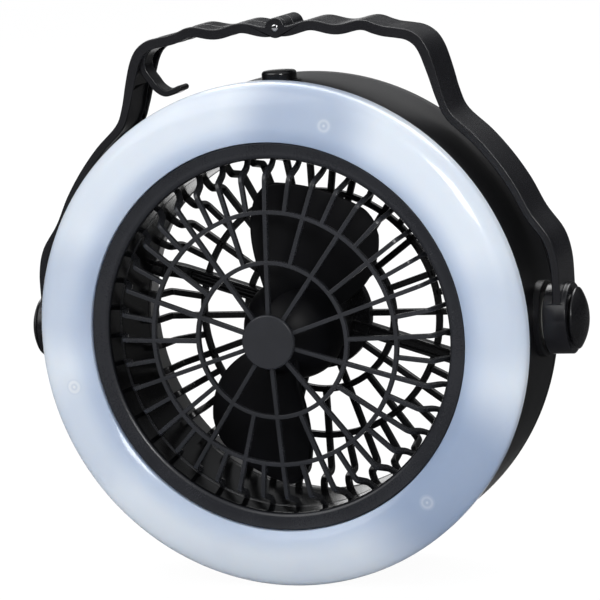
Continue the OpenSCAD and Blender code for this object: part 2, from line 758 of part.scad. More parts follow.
// The strap as drawn from the front, w deep from y0
module strap(thin, thick, y0, w) {
    translate([0, 0, y0]) linear_extrude(w) strap_outline(thin, thick);
}

// The pocket on the strap's inner side
module strap_pocket(y0, w) {
    line = strap_line();
    skin = moved(line, depth_in(line, skin_t, skin_t));
    back = moved(line, depth_in(line, strap_t + 1, grip_t + 1));
    translate([0, 0, y0]) linear_extrude(w) difference() {
        polygon(concat(skin, reversed(back)));
        translate([-2 * lens_r, -10]) square([4 * lens_r, 32]);
        children();
    }
}

module handle() color([0.13, 0.13, 0.14]) difference() {
    union() {
        fan_space() difference() {
            union() {
                strap(strap_t, grip_t, handle_y, handle_depth);
                translate([0, hook_z * fit, handle_y]) cylinder(r = hub_top_r, h = handle_depth);
            }
            // Pockets: the arms' full width, and behind the hook's slot in the grip
            strap_pocket(handle_y + rim_w, handle_depth - 2 * rim_w)
                translate([-slot_x, cut_z] * fit) square([2 * slot_x, cut_h] * fit);
            strap_pocket(slot_y + slot_w + rim_w, handle_depth - flange_w - slot_w - 2 * rim_w)
                translate([-8, cut_z] * fit) square([16, cut_h] * fit);
            // Slot for the folded hook, open above and below
            intersection() {
                translate([-slot_x * fit, cut_z * fit, slot_y])
                    cube([(slot_x + hub_top_r) * fit, cut_h * fit, slot_w]);
                translate([0, hook_z * fit, slot_y]) cylinder(r = slot_x * fit, h = slot_w);
            }
            translate([0, hook_z * fit, slot_y]) cylinder(r = hub_top_r + run_gap, h = slot_w);
            translate([0, hook_z * fit, 0])
                rod(pin_d / 2 + slip / 2, handle_y - 1, handle_y + handle_depth - 4);
        }
        for (side = [-1, 1]) pivot_space(side)
            translate([0, 0, eye_x]) cylinder(r = eye_r, h = eye_end - eye_x);
    }
    for (side = [-1, 1]) pivot_space(side) {
        translate([0, 0, eye_x - 1]) cylinder(r = shoulder_r + 0.06, h = eye_floor + 2);
        translate([0, 0, eye_x + eye_floor]) cylinder(r = recess_r, h = 12);
    }
}

module knob(side) pivot_space(side) {
    // Domed face, rim, neck and the spigot that plugs into the handle's eye
    dome_r = (knob_r * knob_r + pow(knob_reach - 1, 2)) / (2 * (knob_reach - 1));
    rotate_extrude() polygon(concat(
        [[0, eye_x + eye_floor + 3.4], [recess_r - slip, eye_x + eye_floor + 3.4],
            [recess_r - slip, eye_end], [knob_r - 2.6, eye_end], [knob_r - 2.6, knob_x],
            [knob_r - 0.3, knob_x], [knob_r, knob_x + 0.3], [knob_r, knob_x + 1]],
        arc(0, knob_x + knob_reach - dome_r, dome_r, acos(knob_r / dome_r) + 1, 90, 10)
    ));
}

module knob_left() color([0.13, 0.13, 0.14]) knob(-1);

module knob_right() color([0.13, 0.13, 0.14]) knob(1);

module pivot_screws() color([0.62, 0.63, 0.65]) for (side = [-1, 1]) pivot_space(side) {
    translate([0, 0, shell_in - 7]) cylinder(r = 2, h = boss_x - shell_in + 7);
    translate([0, 0, boss_x]) cylinder(r = shoulder_r, h = eye_x + eye_floor + 0.1 - boss_x);
    translate([0, 0, eye_x + eye_floor + 0.1]) cylinder(r = 6, h = 2.6);
}

module pivot_washers() color([0.80, 0.80, 0.78]) for (side = [-1, 1]) pivot_space(side)
    tube(11, shoulder_r + 0.2, boss_x, boss_x + washer_t);

// Middle line of the folded hook: along the grip, then down and round to the tip
function hook_line() = let (
    shank = [for (p = strap_line()) if (p[0] < 0 && p[0] > (1 - grip_half) * fit) p],
    curve = [for (p = [[-2.4, -3.5], [-8.6, -4.7], [-13.4, -6.7], [-16.8, -9.9], [-17.9, -13.7],
        [-17.1, -17.2], [-14.9, -20.5], [-12.6, -23.6], [-9.4, -25.7], [-6.2, -25.4], [-2.9, -24.1]])
        fit * (p + [-grip_half, grip_z])]
) concat(moved(shank, bar_t / 2 + 0.2), spline(curve, 4));

module hook_outline() {
    line = hook_line();
    last = len(line) - 1;
    ahead = line[last] - line[last - 1];
    turn = atan2(ahead[1], ahead[0]);
    half = [for (i = [0:last]) (bar_t + (tip_t - bar_t) * pow(i / last, 5)) / 2];
    polygon(concat(
        moved(line, half),
        arc(line[last][0], line[last][1], tip_t / 2, turn + 70, turn - 70, 4),
        reversed(moved(line, -half))
    ));
}

module hook() color([0.14, 0.14, 0.15]) fan_space() difference() {
    union() {
        translate([0, 0, hook_y]) linear_extrude(hook_depth) hook_outline();
        translate([0, hook_z * fit, 0]) rod(hub_top_r, hook_y, hook_y + hook_depth);
    }
    translate([0, hook_z * fit, 0]) rod(pin_d / 2 + 0.05, hook_y - 1, hook_y + hook_depth + 1);
}

module hook_pin() color([0.55, 0.56, 0.58]) fan_space() translate([0, hook_z * fit, 0]) {
    rod(pin_d / 2, handle_y - 0.2, handle_y + handle_depth - 4.2);
}

front_lens();
lens_screws();
front_bezel();
front_grille();
led_board();
leds();
middle_housing();
rear_pads();
rear_cover();
rear_grille();
housing_screws();
impeller();
motor_shaft();
motor_rotor();
motor_can();
motor_magnets();
motor_end_cap();
motor_bushes();
motor_clamp();
motor_screws();
motor_wires();
push_button();
switch_plunger();
switch_body();
switch_board();
battery_cells();
battery_springs();
battery_contacts();
battery_door_left();
battery_door_right();
door_screws();
handle();
knob_left();
knob_right();
pivot_screws();
pivot_washers();
hook();
hook_pin();
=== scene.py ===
"""Portable camping fan with a ring lamp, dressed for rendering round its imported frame.

Pieces are drawn in millimetres in fan space: x to the right, y the depth behind the bezel's
plane and z the height above the fan's axis. Wardrobe.piece() brings them into the frame's
metres. Angles are in degrees, from +X towards +Z.
"""

from __future__ import annotations

import json
import logging
import math
from dataclasses import dataclass
from enum import Enum
from typing import Callable, Iterable, Sequence

import bmesh
import bpy
from mathutils import Matrix, Vector

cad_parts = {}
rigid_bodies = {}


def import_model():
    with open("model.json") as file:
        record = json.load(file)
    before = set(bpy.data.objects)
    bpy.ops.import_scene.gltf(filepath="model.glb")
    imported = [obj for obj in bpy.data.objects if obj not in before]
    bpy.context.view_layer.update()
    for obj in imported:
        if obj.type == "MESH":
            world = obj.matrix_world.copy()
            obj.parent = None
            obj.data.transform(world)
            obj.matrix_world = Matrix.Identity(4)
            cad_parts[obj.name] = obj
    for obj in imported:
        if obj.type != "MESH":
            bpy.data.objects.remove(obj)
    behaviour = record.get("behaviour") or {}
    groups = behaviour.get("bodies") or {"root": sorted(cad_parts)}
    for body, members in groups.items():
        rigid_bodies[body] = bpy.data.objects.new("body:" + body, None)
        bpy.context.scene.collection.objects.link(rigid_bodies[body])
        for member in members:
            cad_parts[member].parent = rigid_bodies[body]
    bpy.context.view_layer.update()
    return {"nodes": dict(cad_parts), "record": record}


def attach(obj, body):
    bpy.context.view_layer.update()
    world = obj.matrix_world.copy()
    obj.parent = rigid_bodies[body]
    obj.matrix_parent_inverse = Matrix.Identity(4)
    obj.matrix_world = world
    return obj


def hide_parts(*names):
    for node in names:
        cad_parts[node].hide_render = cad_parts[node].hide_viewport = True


LOG = logging.getLogger("camping_fan")

MM = 0.001
MID_DEPTH = 30.4
AXIS_HEIGHT = 100.0
FULL_TURN = 2 * math.pi
PHOTO_PX = 600
POST_RING = 87.0
POST_TURNS = (72.0, 192.0, 312.0)
DUCT = 70.0
PIVOT_DEPTH = 37.0
BUTTON_RADIUS = 6.9
BUTTON_DEPTH = 26.5
RING_FACETS = 224
DISC_FACETS = 96
HOOP_FACETS = 160
BORE_FACETS = 24
DEPTH_TO_HEIGHT = Matrix(((1, 0, 0, 0), (0, 0, 1, 0), (0, -1, 0, 0), (0, 0, 0, 1)))

Point = tuple[float, float]
Colour = tuple[float, float, float]


class Body(Enum):
    """The bodies that pieces ride on."""

    FAN = "fan_body"
    ROTOR = "fan_rotor"
    BUTTON = "power_button"
    HANDLE = "carry_handle"
    HOOK = "hanging_hook"


class Axis(Enum):
    """The axes that a profile is turned about, in fan space."""

    RIGHT = (1.0, 0.0, 0.0)
    DEPTH = (0.0, 1.0, 0.0)
    UP = (0.0, 0.0, 1.0)


# ---------- shader maths ----------


class Graph:
    """A node tree, with the helpers that add nodes and link them."""

    def __init__(self, tree: bpy.types.NodeTree) -> None:
        """Wraps a node tree."""
        self.tree = tree

    def link(self, source: object, target: bpy.types.NodeSocket) -> None:
        """Feeds a socket from a signal, a socket or a value."""
        source = source.socket if isinstance(source, Signal) else source
        if isinstance(source, bpy.types.NodeSocket):
            self.tree.links.new(source, target)
        else:
            target.default_value = source

    def node(self, kind: str, values: dict[object, object], **settings: object) -> bpy.types.Node:
        """Adds a node of any type.

        Args:
            kind: the node's type.
            values: what its sockets, by name or number, hold or are fed from.
            settings: its own properties, set first.

        Returns:
            The node.
        """
        node = self.tree.nodes.new(kind)
        for name, value in settings.items():
            setattr(node, name, value)
        for key, value in values.items():
            self.link(value, node.inputs[key])
        return node

    def split(self, vector: bpy.types.NodeSocket) -> list[Signal]:
        """Returns a vector's x, y and z."""
        node = self.node("ShaderNodeSeparateXYZ", {"Vector": vector})
        return [Signal(self, socket) for socket in node.outputs]

    def rays(self, *kinds: str) -> list[Signal]:
        """Tells, for each kind of ray, whether the shader is seen by one."""
        outputs = self.node("ShaderNodeLightPath", {}).outputs
        return [Signal(self, outputs[f"Is {kind} Ray"]) for kind in kinds]

    def blend(self, share: Signal, first: bpy.types.Node, second: bpy.types.Node, output: str) -> None:
        """Gives the tree's output a mix of two shaders.

        Args:
            share: 0 for the first shader and 1 for the second.
            first: the first shader's node.
            second: the second shader's node.
            output: the output node's name.
        """
        values = {"Fac": share, 1: first.outputs[0], 2: second.outputs[0]}
        mix = self.node("ShaderNodeMixShader", values)
        self.link(mix.outputs[0], self.tree.nodes[output].inputs["Surface"])


class Signal:
    """A shader socket that takes part in Python arithmetic.

    low() and high() return the lesser and the greater of two, root() and sine() work on one.
    """

    def __init__(self, graph: Graph, socket: bpy.types.NodeSocket) -> None:
        """Wraps one of the graph's output sockets."""
        self.graph = graph
        self.socket = socket

    @staticmethod
    def _maths(operation: str, swapped: bool = False) -> Callable[[Signal, object], Signal]:
        """Makes a method that adds a Math node.

        Args:
            operation: the node's operation.
            swapped: whether the other value comes first.

        Returns:
            The method, which takes another signal or value.
        """

        def method(self: Signal, other: object = 0.0) -> Signal:
            """Returns the node's output."""
            pair = (other, self) if swapped else (self, other)
            node = self.graph.node("ShaderNodeMath", dict(enumerate(pair)), operation=operation)
            return Signal(self.graph, node.outputs[0])

        return method

    __add__ = __radd__ = _maths("ADD")
    __sub__ = _maths("SUBTRACT")
    __rsub__ = _maths("SUBTRACT", True)
    __mul__ = _maths("MULTIPLY")
    low = _maths("MINIMUM")
    high = _maths("MAXIMUM")
    root = _maths("SQRT")
    sine = _maths("SINE")

    def span(self, other: Signal) -> Signal:
        """Returns the length of the diagonal over the two."""
        return (self * self + other * other).root()

    def ramp(self, start: float, end: float) -> Signal:
        """Rises smoothly from 0 at start to 1 at end."""
        values = {"Value": self, "From Min": start, "From Max": end}
        node = self.graph.node("ShaderNodeMapRange", values, interpolation_type="SMOOTHSTEP")
        return Signal(self.graph, node.outputs["Result"])


class Paint(Graph):
    """A material under construction, with the patterns that its finish draws on."""

    def __init__(self, name: str) -> None:
        """Starts an empty material.

        Args:
            name: the material's name.
        """
        self.material = bpy.data.materials.new(name)
        self.material.use_nodes = True
        super().__init__(self.material.node_tree)
        self.shader = self.tree.nodes["Principled BSDF"]
        self.place = self.node("ShaderNodeTexCoord", {}).outputs["Object"]

    def noise(self, scale: float, detail: float, stretch: Colour = (1.0, 1.0, 1.0)) -> Signal:
        """Adds a cloud pattern over the piece's own coordinates.

        Args:
            scale: features per metre.
            detail: octaves of finer cloud.
            stretch: the factor along each axis.

        Returns:
            The pattern, about 0.5 on average.
        """
        mapping = self.node("ShaderNodeMapping", {"Vector": self.place, "Scale": stretch})
        values = {"Vector": mapping.outputs["Vector"], "Scale": scale, "Detail": detail}
        return Signal(self, self.node("ShaderNodeTexNoise", values).outputs["Fac"])

    def from_axis(self) -> tuple[Signal, Signal, Signal, Signal]:
        """Returns the places right of the fan's axis, along it and above it, and the distance from it."""
        right, deep, height = self.split(self.place)
        up = height - AXIS_HEIGHT * MM
        return right, deep, up, right.span(up)

    def mix(self, share: Signal, low: object, high: object) -> bpy.types.NodeSocket:
        """Mixes two colours.

        Args:
            share: 0 for the first colour and 1 for the second.
            low: the first colour, or the socket that carries it.
            high: the second colour, or the socket that carries it.

        Returns:
            The mixed colour's socket.
        """
        low, high = ((*c, 1.0) if isinstance(c, tuple) else c for c in (low, high))
        values = {"Factor": share, 6: low, 7: high}
        return self.node("ShaderNodeMix", values, data_type="RGBA").outputs[2]

    def feed(self, sources: dict[str, object]) -> None:
        """Feeds the shader's sockets, by name, from signals, sockets or values."""
        for name, source in sources.items():
            self.link(source, self.shader.inputs[name])

    def relief(self, height: Signal, depth: float, strength: float) -> None:
        """Raises the surface by a height signal.

        Args:
            height: the height, from 0 to 1.
            depth: the size of the relief in metres.
            strength: how much of it shows.
        """
        bump = self.node("ShaderNodeBump", {"Height": height, "Distance": depth, "Strength": strength})
        self.feed({"Normal": bump.outputs["Normal"]})


def linear(level: float) -> float:
    """Returns a display level from 0 to 255 as linear light."""
    share = level / 255
    return share / 12.92 if share <= 0.04045 else ((share + 0.055) / 1.055) ** 2.4


def shade(red: float, green: float, blue: float) -> Colour:
    """Returns a colour given in display levels as linear light."""
    return (linear(red), linear(green), linear(blue))


# ---------- finishes ----------


@dataclass(frozen=True)
class Moulding:
    """A moulded plastic with fine spark-eroded grain and slight changes of gloss.

    Fields: the colour, its darker shade, the roughness, the grain's depth and fineness, the clear
    skin that a polished mould leaves, and the radius about the fan's axis inside which the mould's
    core was polished, as far as a depth: there the surface is smoother and its colour is painted
    almost black, as painted shade in the fan's tunnel. Then the clouds' fineness and how far the
    clouds, the flow lines and the grain change the roughness.
    """

    name: str
    colour: Colour
    shadow: Colour
    roughness: float
    grain_depth: float = 0.00003
    grain_scale: float = 2600.0
    skin: float = 0.0
    skin_roughness: float = 0.25
    specular: float = 0.5
    bore: float = 0.0
    bore_end: float = 1.0
    bore_roughness: float = 0.13
    tunnel_shade_colour: Colour = (0.0018, 0.0018, 0.0022)
    cloud_scale: float = 38.0
    flow_scale: float = 14.0
    cloud_gloss: float = 0.10
    flow_gloss: float = 0.12
    grain_gloss: float = 0.08

    def make(self) -> bpy.types.Material:
        """Returns the material."""
        paint = Paint(self.name)
        cloud = paint.noise(self.cloud_scale, 4.0)
        grain = paint.noise(self.grain_scale, 2.0)
        flow = paint.noise(self.flow_scale, 2.0, (1.0, 0.35, 1.0))
        colour = paint.mix(cloud.ramp(0.32, 0.7), self.shadow, self.colour)
        plain: object = self.roughness
        if self.bore:
            _, deep, _, radius = paint.from_axis()
            outside = radius.ramp(self.bore - 0.0004, self.bore + 0.0004)
            outside = outside.high(deep.ramp(self.bore_end - 0.0002, self.bore_end + 0.0002))
            plain = outside * (self.roughness - self.bore_roughness) + self.bore_roughness
            # Inside the tunnel the colour goes almost black: painted shade where little light reaches.
            colour = paint.mix(outside, self.tunnel_shade_colour, colour)
        rough = plain + (cloud - 0.5) * self.cloud_gloss + (flow - 0.5) * self.flow_gloss
        rough = rough + (grain - 0.5) * self.grain_gloss
        paint.feed({
            "Base Color": colour,
            "Roughness": rough.high(0.05).low(1.0),
            "Specular IOR Level": self.specular,
            "Coat Weight": self.skin,
            "Coat Roughness": self.skin_roughness,
        })
        coarse = paint.noise(self.grain_scale * 0.31, 2.0)
        paint.relief(grain + coarse * 0.6, self.grain_depth, 0.6)
        return paint.material


@dataclass(frozen=True)
class Frosted:
    """The lamp ring's frosted diffuser: milky, clouded inside, with painted shade where it slopes inwards and
    in soft spots.

    Fields: the colours of the crown, of the painted shade where it slopes inwards, of the clouds and of
    the painted shade spots; the radii where the crown starts and the inward dish ends; each painted
    shade spot's angle, reach and share; and round each screw post, the radii where a dot, a painted
    glint, ends and where soft rings start and end, with their shares.
    """

    name: str
    crown: Colour
    slope_shade: Colour
    cloud: Colour
    # deep: the colour of the painted shade spots.
    deep: Colour
    crown_radius: float = 0.088
    foot_radius: float = 0.0765
    painted_shade_spots: tuple[tuple[float, ...], ...] = (
        (78.0, 0.034, 0.65), (-40.0, 0.050, 0.90), (4.0, 0.030, 0.35), (168.0, 0.030, 0.40),
        (205.0, 0.030, 0.25),
    )
    # dot: the painted glint in the middle of each mark, as the radii where it fades and its share.
    dot: tuple[float, ...] = (0.0003, 0.0008, 0.30)
    inner: tuple[float, ...] = (0.0004, 0.0009, 0.0010, 0.0016, 0.30)
    ring: tuple[float, ...] = (0.0011, 0.0019, 0.0021, 0.0030, 0.22)
    rim: tuple[float, ...] = (0.0024, 0.0029, 0.0029, 0.0036, 0.25)

    def make(self) -> bpy.types.Material:
        """Returns the material."""
        paint = Paint(self.name)
        right, _, up, radius = paint.from_axis()
        milk = paint.noise(26.0, 2.5)
        # Towards the inner edge the colour turns cooler and darker: painted shade where the surface turns
        # away from the light.
        colour = paint.mix(radius.ramp(self.foot_radius, self.crown_radius), self.slope_shade, self.crown)
        colour = paint.mix(milk.ramp(0.50, 0.80) * 0.55, colour, self.cloud)
        # Soft spots of painted shade, in the deep colour.
        for turn, reach, share in self.painted_shade_spots:
            spot_shade = 1.0 - self._away(right, up, turn).ramp(reach * 0.35, reach)
            colour = paint.mix(spot_shade * share, colour, self.deep)
        pale, dark = self._marks(right, up)
        # Lighten towards white: the pale rings, and the dots as painted glints.
        colour = paint.mix(pale, colour, (1.0, 1.0, 1.0))
        fine = paint.noise(1700.0, 2.0)
        paint.feed({
            "Base Color": paint.mix(dark, colour, self.slope_shade),
            "Roughness": 0.42 + (fine - 0.5) * 0.12 + (milk - 0.5) * 0.10,
            "Subsurface Weight": 0.35,
            "Subsurface Radius": (0.6, 0.8, 1.0),
            "Subsurface Scale": 0.004,
            "Coat Weight": 0.7,
            "Coat Roughness": 0.09,
        })
        paint.relief(fine, 0.000012, 0.5)
        return paint.material

    def _away(self, right: Signal, up: Signal, turn: float) -> Signal:
        """Returns the distance from the place at an angle on the ring of posts."""
        ring, angle = POST_RING * MM, math.radians(turn)
        return (right - ring * math.cos(angle)).span(up - ring * math.sin(angle))

    def _marks(self, right: Signal, up: Signal) -> tuple[Signal, Signal]:
        """Tints the three places where the screw posts meet the diffuser, with a painted glint in the middle
        of each.

        Args:
            right: the distance to the right of the axis.
            up: the height above the axis.

        Returns:
            The share of the pale ring with the painted glint in its middle, and of the dark rim round it.
        """
        first, second, third = (self._away(right, up, turn) for turn in POST_TURNS)
        nearest = first.low(second).low(third)
        inner, ring, rim = (
            nearest.ramp(rise, full) * (1.0 - nearest.ramp(fade, end)) * share
            for rise, full, fade, end, share in (self.inner, self.ring, self.rim)
        )
        # The dot in the middle of each mark is a painted glint.
        start, end, share = self.dot
        return ring.high((1.0 - nearest.ramp(start, end)) * share), inner.high(rim)


@dataclass(frozen=True)
class Metal:
    """A plated, turned or sintered metal with fine tool marks."""

    name: str
    colour: Colour
    roughness: float

    def make(self) -> bpy.types.Material:
        """Returns the material."""
        paint = Paint(self.name)
        stain = paint.noise(160.0, 3.0)
        lines = paint.noise(1500.0, 2.0)
        dull = tuple(0.72 * level for level in self.colour)
        paint.feed({
            "Base Color": paint.mix(stain.ramp(0.35, 0.75), self.colour, dull),
            "Metallic": 1.0,
            "Roughness": (self.roughness + (lines - 0.5) * 0.16 + (stain - 0.5) * 0.08).high(0.04),
        })
        paint.relief(lines, 0.00001, 0.5)
        return paint.material


@dataclass(frozen=True)
class Laminate:
    """A circuit board, with faint copper runs under its coloured resist."""

    name: str
    colour: Colour
    run: Colour

    def make(self) -> bpy.types.Material:
        """Returns the material."""
        paint = Paint(self.name)
        weave = paint.noise(900.0, 1.0, (1.0, 1.0, 0.3))
        runs = (paint.noise(140.0, 0.0) * 60.0).sine().ramp(0.35, 0.6)
        colour = paint.mix(runs * 0.6, self.colour, self.run)
        paint.feed({"Base Color": colour, "Roughness": 0.38 + weave * 0.12})
        paint.relief(runs + weave * 0.3, 0.00003, 0.5)
        return paint.material


@dataclass(frozen=True)
class Winding:
    """Enamelled copper wire, wound round the armature."""

    name: str
    colour: Colour
    pitch: float = 0.0005

    def make(self) -> bpy.types.Material:
        """Returns the material."""
        paint = Paint(self.name)
        _, depth, _ = paint.split(paint.place)
        turns = (depth * (FULL_TURN / self.pitch)).sine() * 0.5 + 0.5
        # Darker between the turns: painted shade in the grooves between the wires.
        groove_shade = tuple(0.4 * level for level in self.colour)
        paint.feed({
            "Base Color": paint.mix(turns, groove_shade, self.colour),
            "Metallic": 0.9,
            "Roughness": 0.32 + (1.0 - turns) * 0.2,
        })
        paint.relief(turns, 0.0001, 0.7)
        return paint.material


FINISHES = {
    "diffuser": Frosted(
        "frosted_diffuser", shade(217, 225, 236), shade(180, 194, 216), shade(198, 208, 226),
        shade(141, 158, 185),
    ),
    "bezel_grey": Moulding(
        "satin_bezel", shade(42, 43, 47), shade(37, 38, 42), 0.27, 0.00002, 3200.0, bore=0.0704
    ),
    "grille_grey": Moulding("satin_grille", shade(44, 45, 49), shade(39, 40, 43), 0.26, 0.00002, 3200.0),
    "grille_black": Moulding("black_grille", shade(16, 16, 18), shade(12, 12, 14), 0.28, 0.00002, 3200.0),
    "shell_black": Moulding(
        "grained_shell", shade(18, 18, 21), shade(14, 14, 16), 0.38, 0.00004, 2400.0, specular=0.30,
        bore=0.0731, bore_end=0.0160,
    ),
    "impeller_black": Moulding(
        "black_blades", shade(14, 14, 17), shade(11, 11, 13), 0.48, 0.00001, 3000.0, specular=0.15
    ),
    "handle_black": Moulding("charcoal_handle", shade(28, 28, 31), shade(22, 22, 25), 0.25, 0.00002, 2800.0),
    "knob_black": Moulding("polished_knob", shade(19, 19, 21), shade(15, 15, 17), 0.28, 0.00001, 3000.0, 0.2),
    "button_black": Moulding(
        "polished_button", shade(19, 19, 21), shade(15, 15, 17), 0.2, 0.00001, 3000.0, 0.4
    ),
    "pad_rubber": Moulding("pad_rubber", shade(30, 30, 31), shade(24, 24, 25), 0.8, 0.00006, 1800.0),
    "inner_black": Moulding("inner_moulding", shade(34, 34, 36), shade(28, 28, 30), 0.5),
    "wire_black": Moulding("wire_sleeve", shade(24, 24, 26), shade(20, 20, 22), 0.4),
    "switch_cream": Moulding("cream_moulding", shade(222, 216, 198), shade(208, 202, 184), 0.45),
    "cell_wrap": Moulding("cell_sleeve", shade(92, 120, 132), shade(84, 110, 122), 0.28, 0.00001, 900.0, 0.3),
    "washer_nylon": Moulding("nylon", shade(216, 214, 206), shade(206, 204, 196), 0.5),
    "led_yellow": Moulding("phosphor", shade(248, 238, 184), shade(240, 224, 150), 0.35),
    "magnet": Moulding("ferrite", shade(72, 72, 75), shade(58, 58, 61), 0.55, 0.00005, 1500.0),
    "pin_steel": Metal("bright_pin", (0.90, 0.90, 0.92), 0.12),
    "screw_steel": Metal("zinc_plate", (0.62, 0.62, 0.65), 0.30),
    "bush_bronze": Metal("sintered_bronze", (0.60, 0.40, 0.18), 0.42),
    "copper": Winding("wound_copper", (0.72, 0.33, 0.17)),
    "board_white": Laminate("white_board", shade(232, 232, 228), shade(214, 214, 206)),
    "board_green": Laminate("green_board", shade(30, 96, 52), shade(58, 128, 70)),
}


# ---------- shapes ----------


def arc(centre: Point, radius: float, start: float, end: float, steps: int) -> list[Point]:
    """Returns points along an arc, its angles in degrees."""
    turns = (math.radians(start + (end - start) * i / steps) for i in range(steps + 1))
    return [(centre[0] + radius * math.cos(t), centre[1] + radius * math.sin(t)) for t in turns]


def curve_through(points: Sequence[Point], steps: int) -> list[Point]:
    """Draws a smooth curve through the points.

    Args:
        points: the points that it passes.
        steps: the steps between neighbours.

    Returns:
        The points along the curve.
    """
    made: list[Point] = []
    last = len(points) - 1
    for i in range(last):
        before, here, there, after = (Vector(points[min(max(i + k, 0), last)]) for k in (-1, 0, 1, 2))
        for s in range(steps):
            u = s / steps
            place = 2 * here + (there - before) * u + (2 * before - 5 * here + 4 * there - after) * u * u
            place += (3 * here - before - 3 * there + after) * u**3
            made.append(tuple(place / 2))
    return [*made, tuple(points[last])]


def moved(path: Sequence[Point], away: Callable[[int, Point], float]) -> list[Point]:
    """Moves a path sideways, with mitred corners.

    Args:
        path: the points.
        away: gives the distance to the left, from a point's number and its place.

    Returns:
        The moved points.
    """
    made = []
    for i, here in enumerate(path):
        j, k = max(i, 1), min(i, len(path) - 2)
        before = (Vector(path[j]) - Vector(path[j - 1])).normalized()
        after = (Vector(path[k + 1]) - Vector(path[k])).normalized()
        left, right = Vector((-before.y, before.x)), Vector((-after.y, after.x))
        middle = (left + right).normalized()
        place = Vector(here) + middle * (away(i, here) / middle.dot(left))
        made.append((place.x, place.y))
    return made


def bent(path: Sequence[Point], reach: float, steps: int = 5) -> list[Point]:
    """Rounds a path's inner corners.

    Args:
        path: the points.
        reach: how far from a corner its rounding starts and ends.
        steps: the steps round each corner.

    Returns:
        The points along the rounded path.
    """
    made = [tuple(path[0])]
    for before, corner, after in zip(path, path[1:], path[2:]):
        here = Vector(corner)
        start = here + reach * (Vector(before) - here).normalized()
        end = here + reach * (Vector(after) - here).normalized()
        for i in range(steps + 1):
            u = i / steps
            made.append(tuple((1 - u) ** 2 * start + 2 * u * (1 - u) * here + u * u * end))
    return [*made, tuple(path[-1])]


def ribbon(path: Sequence[Point], thickness: float) -> list[Point]:
    """Returns the outline of a band along a path."""
    one = moved(path, lambda i, p: thickness / 2)
    other = moved(path, lambda i, p: -thickness / 2)
    return one + other[::-1]


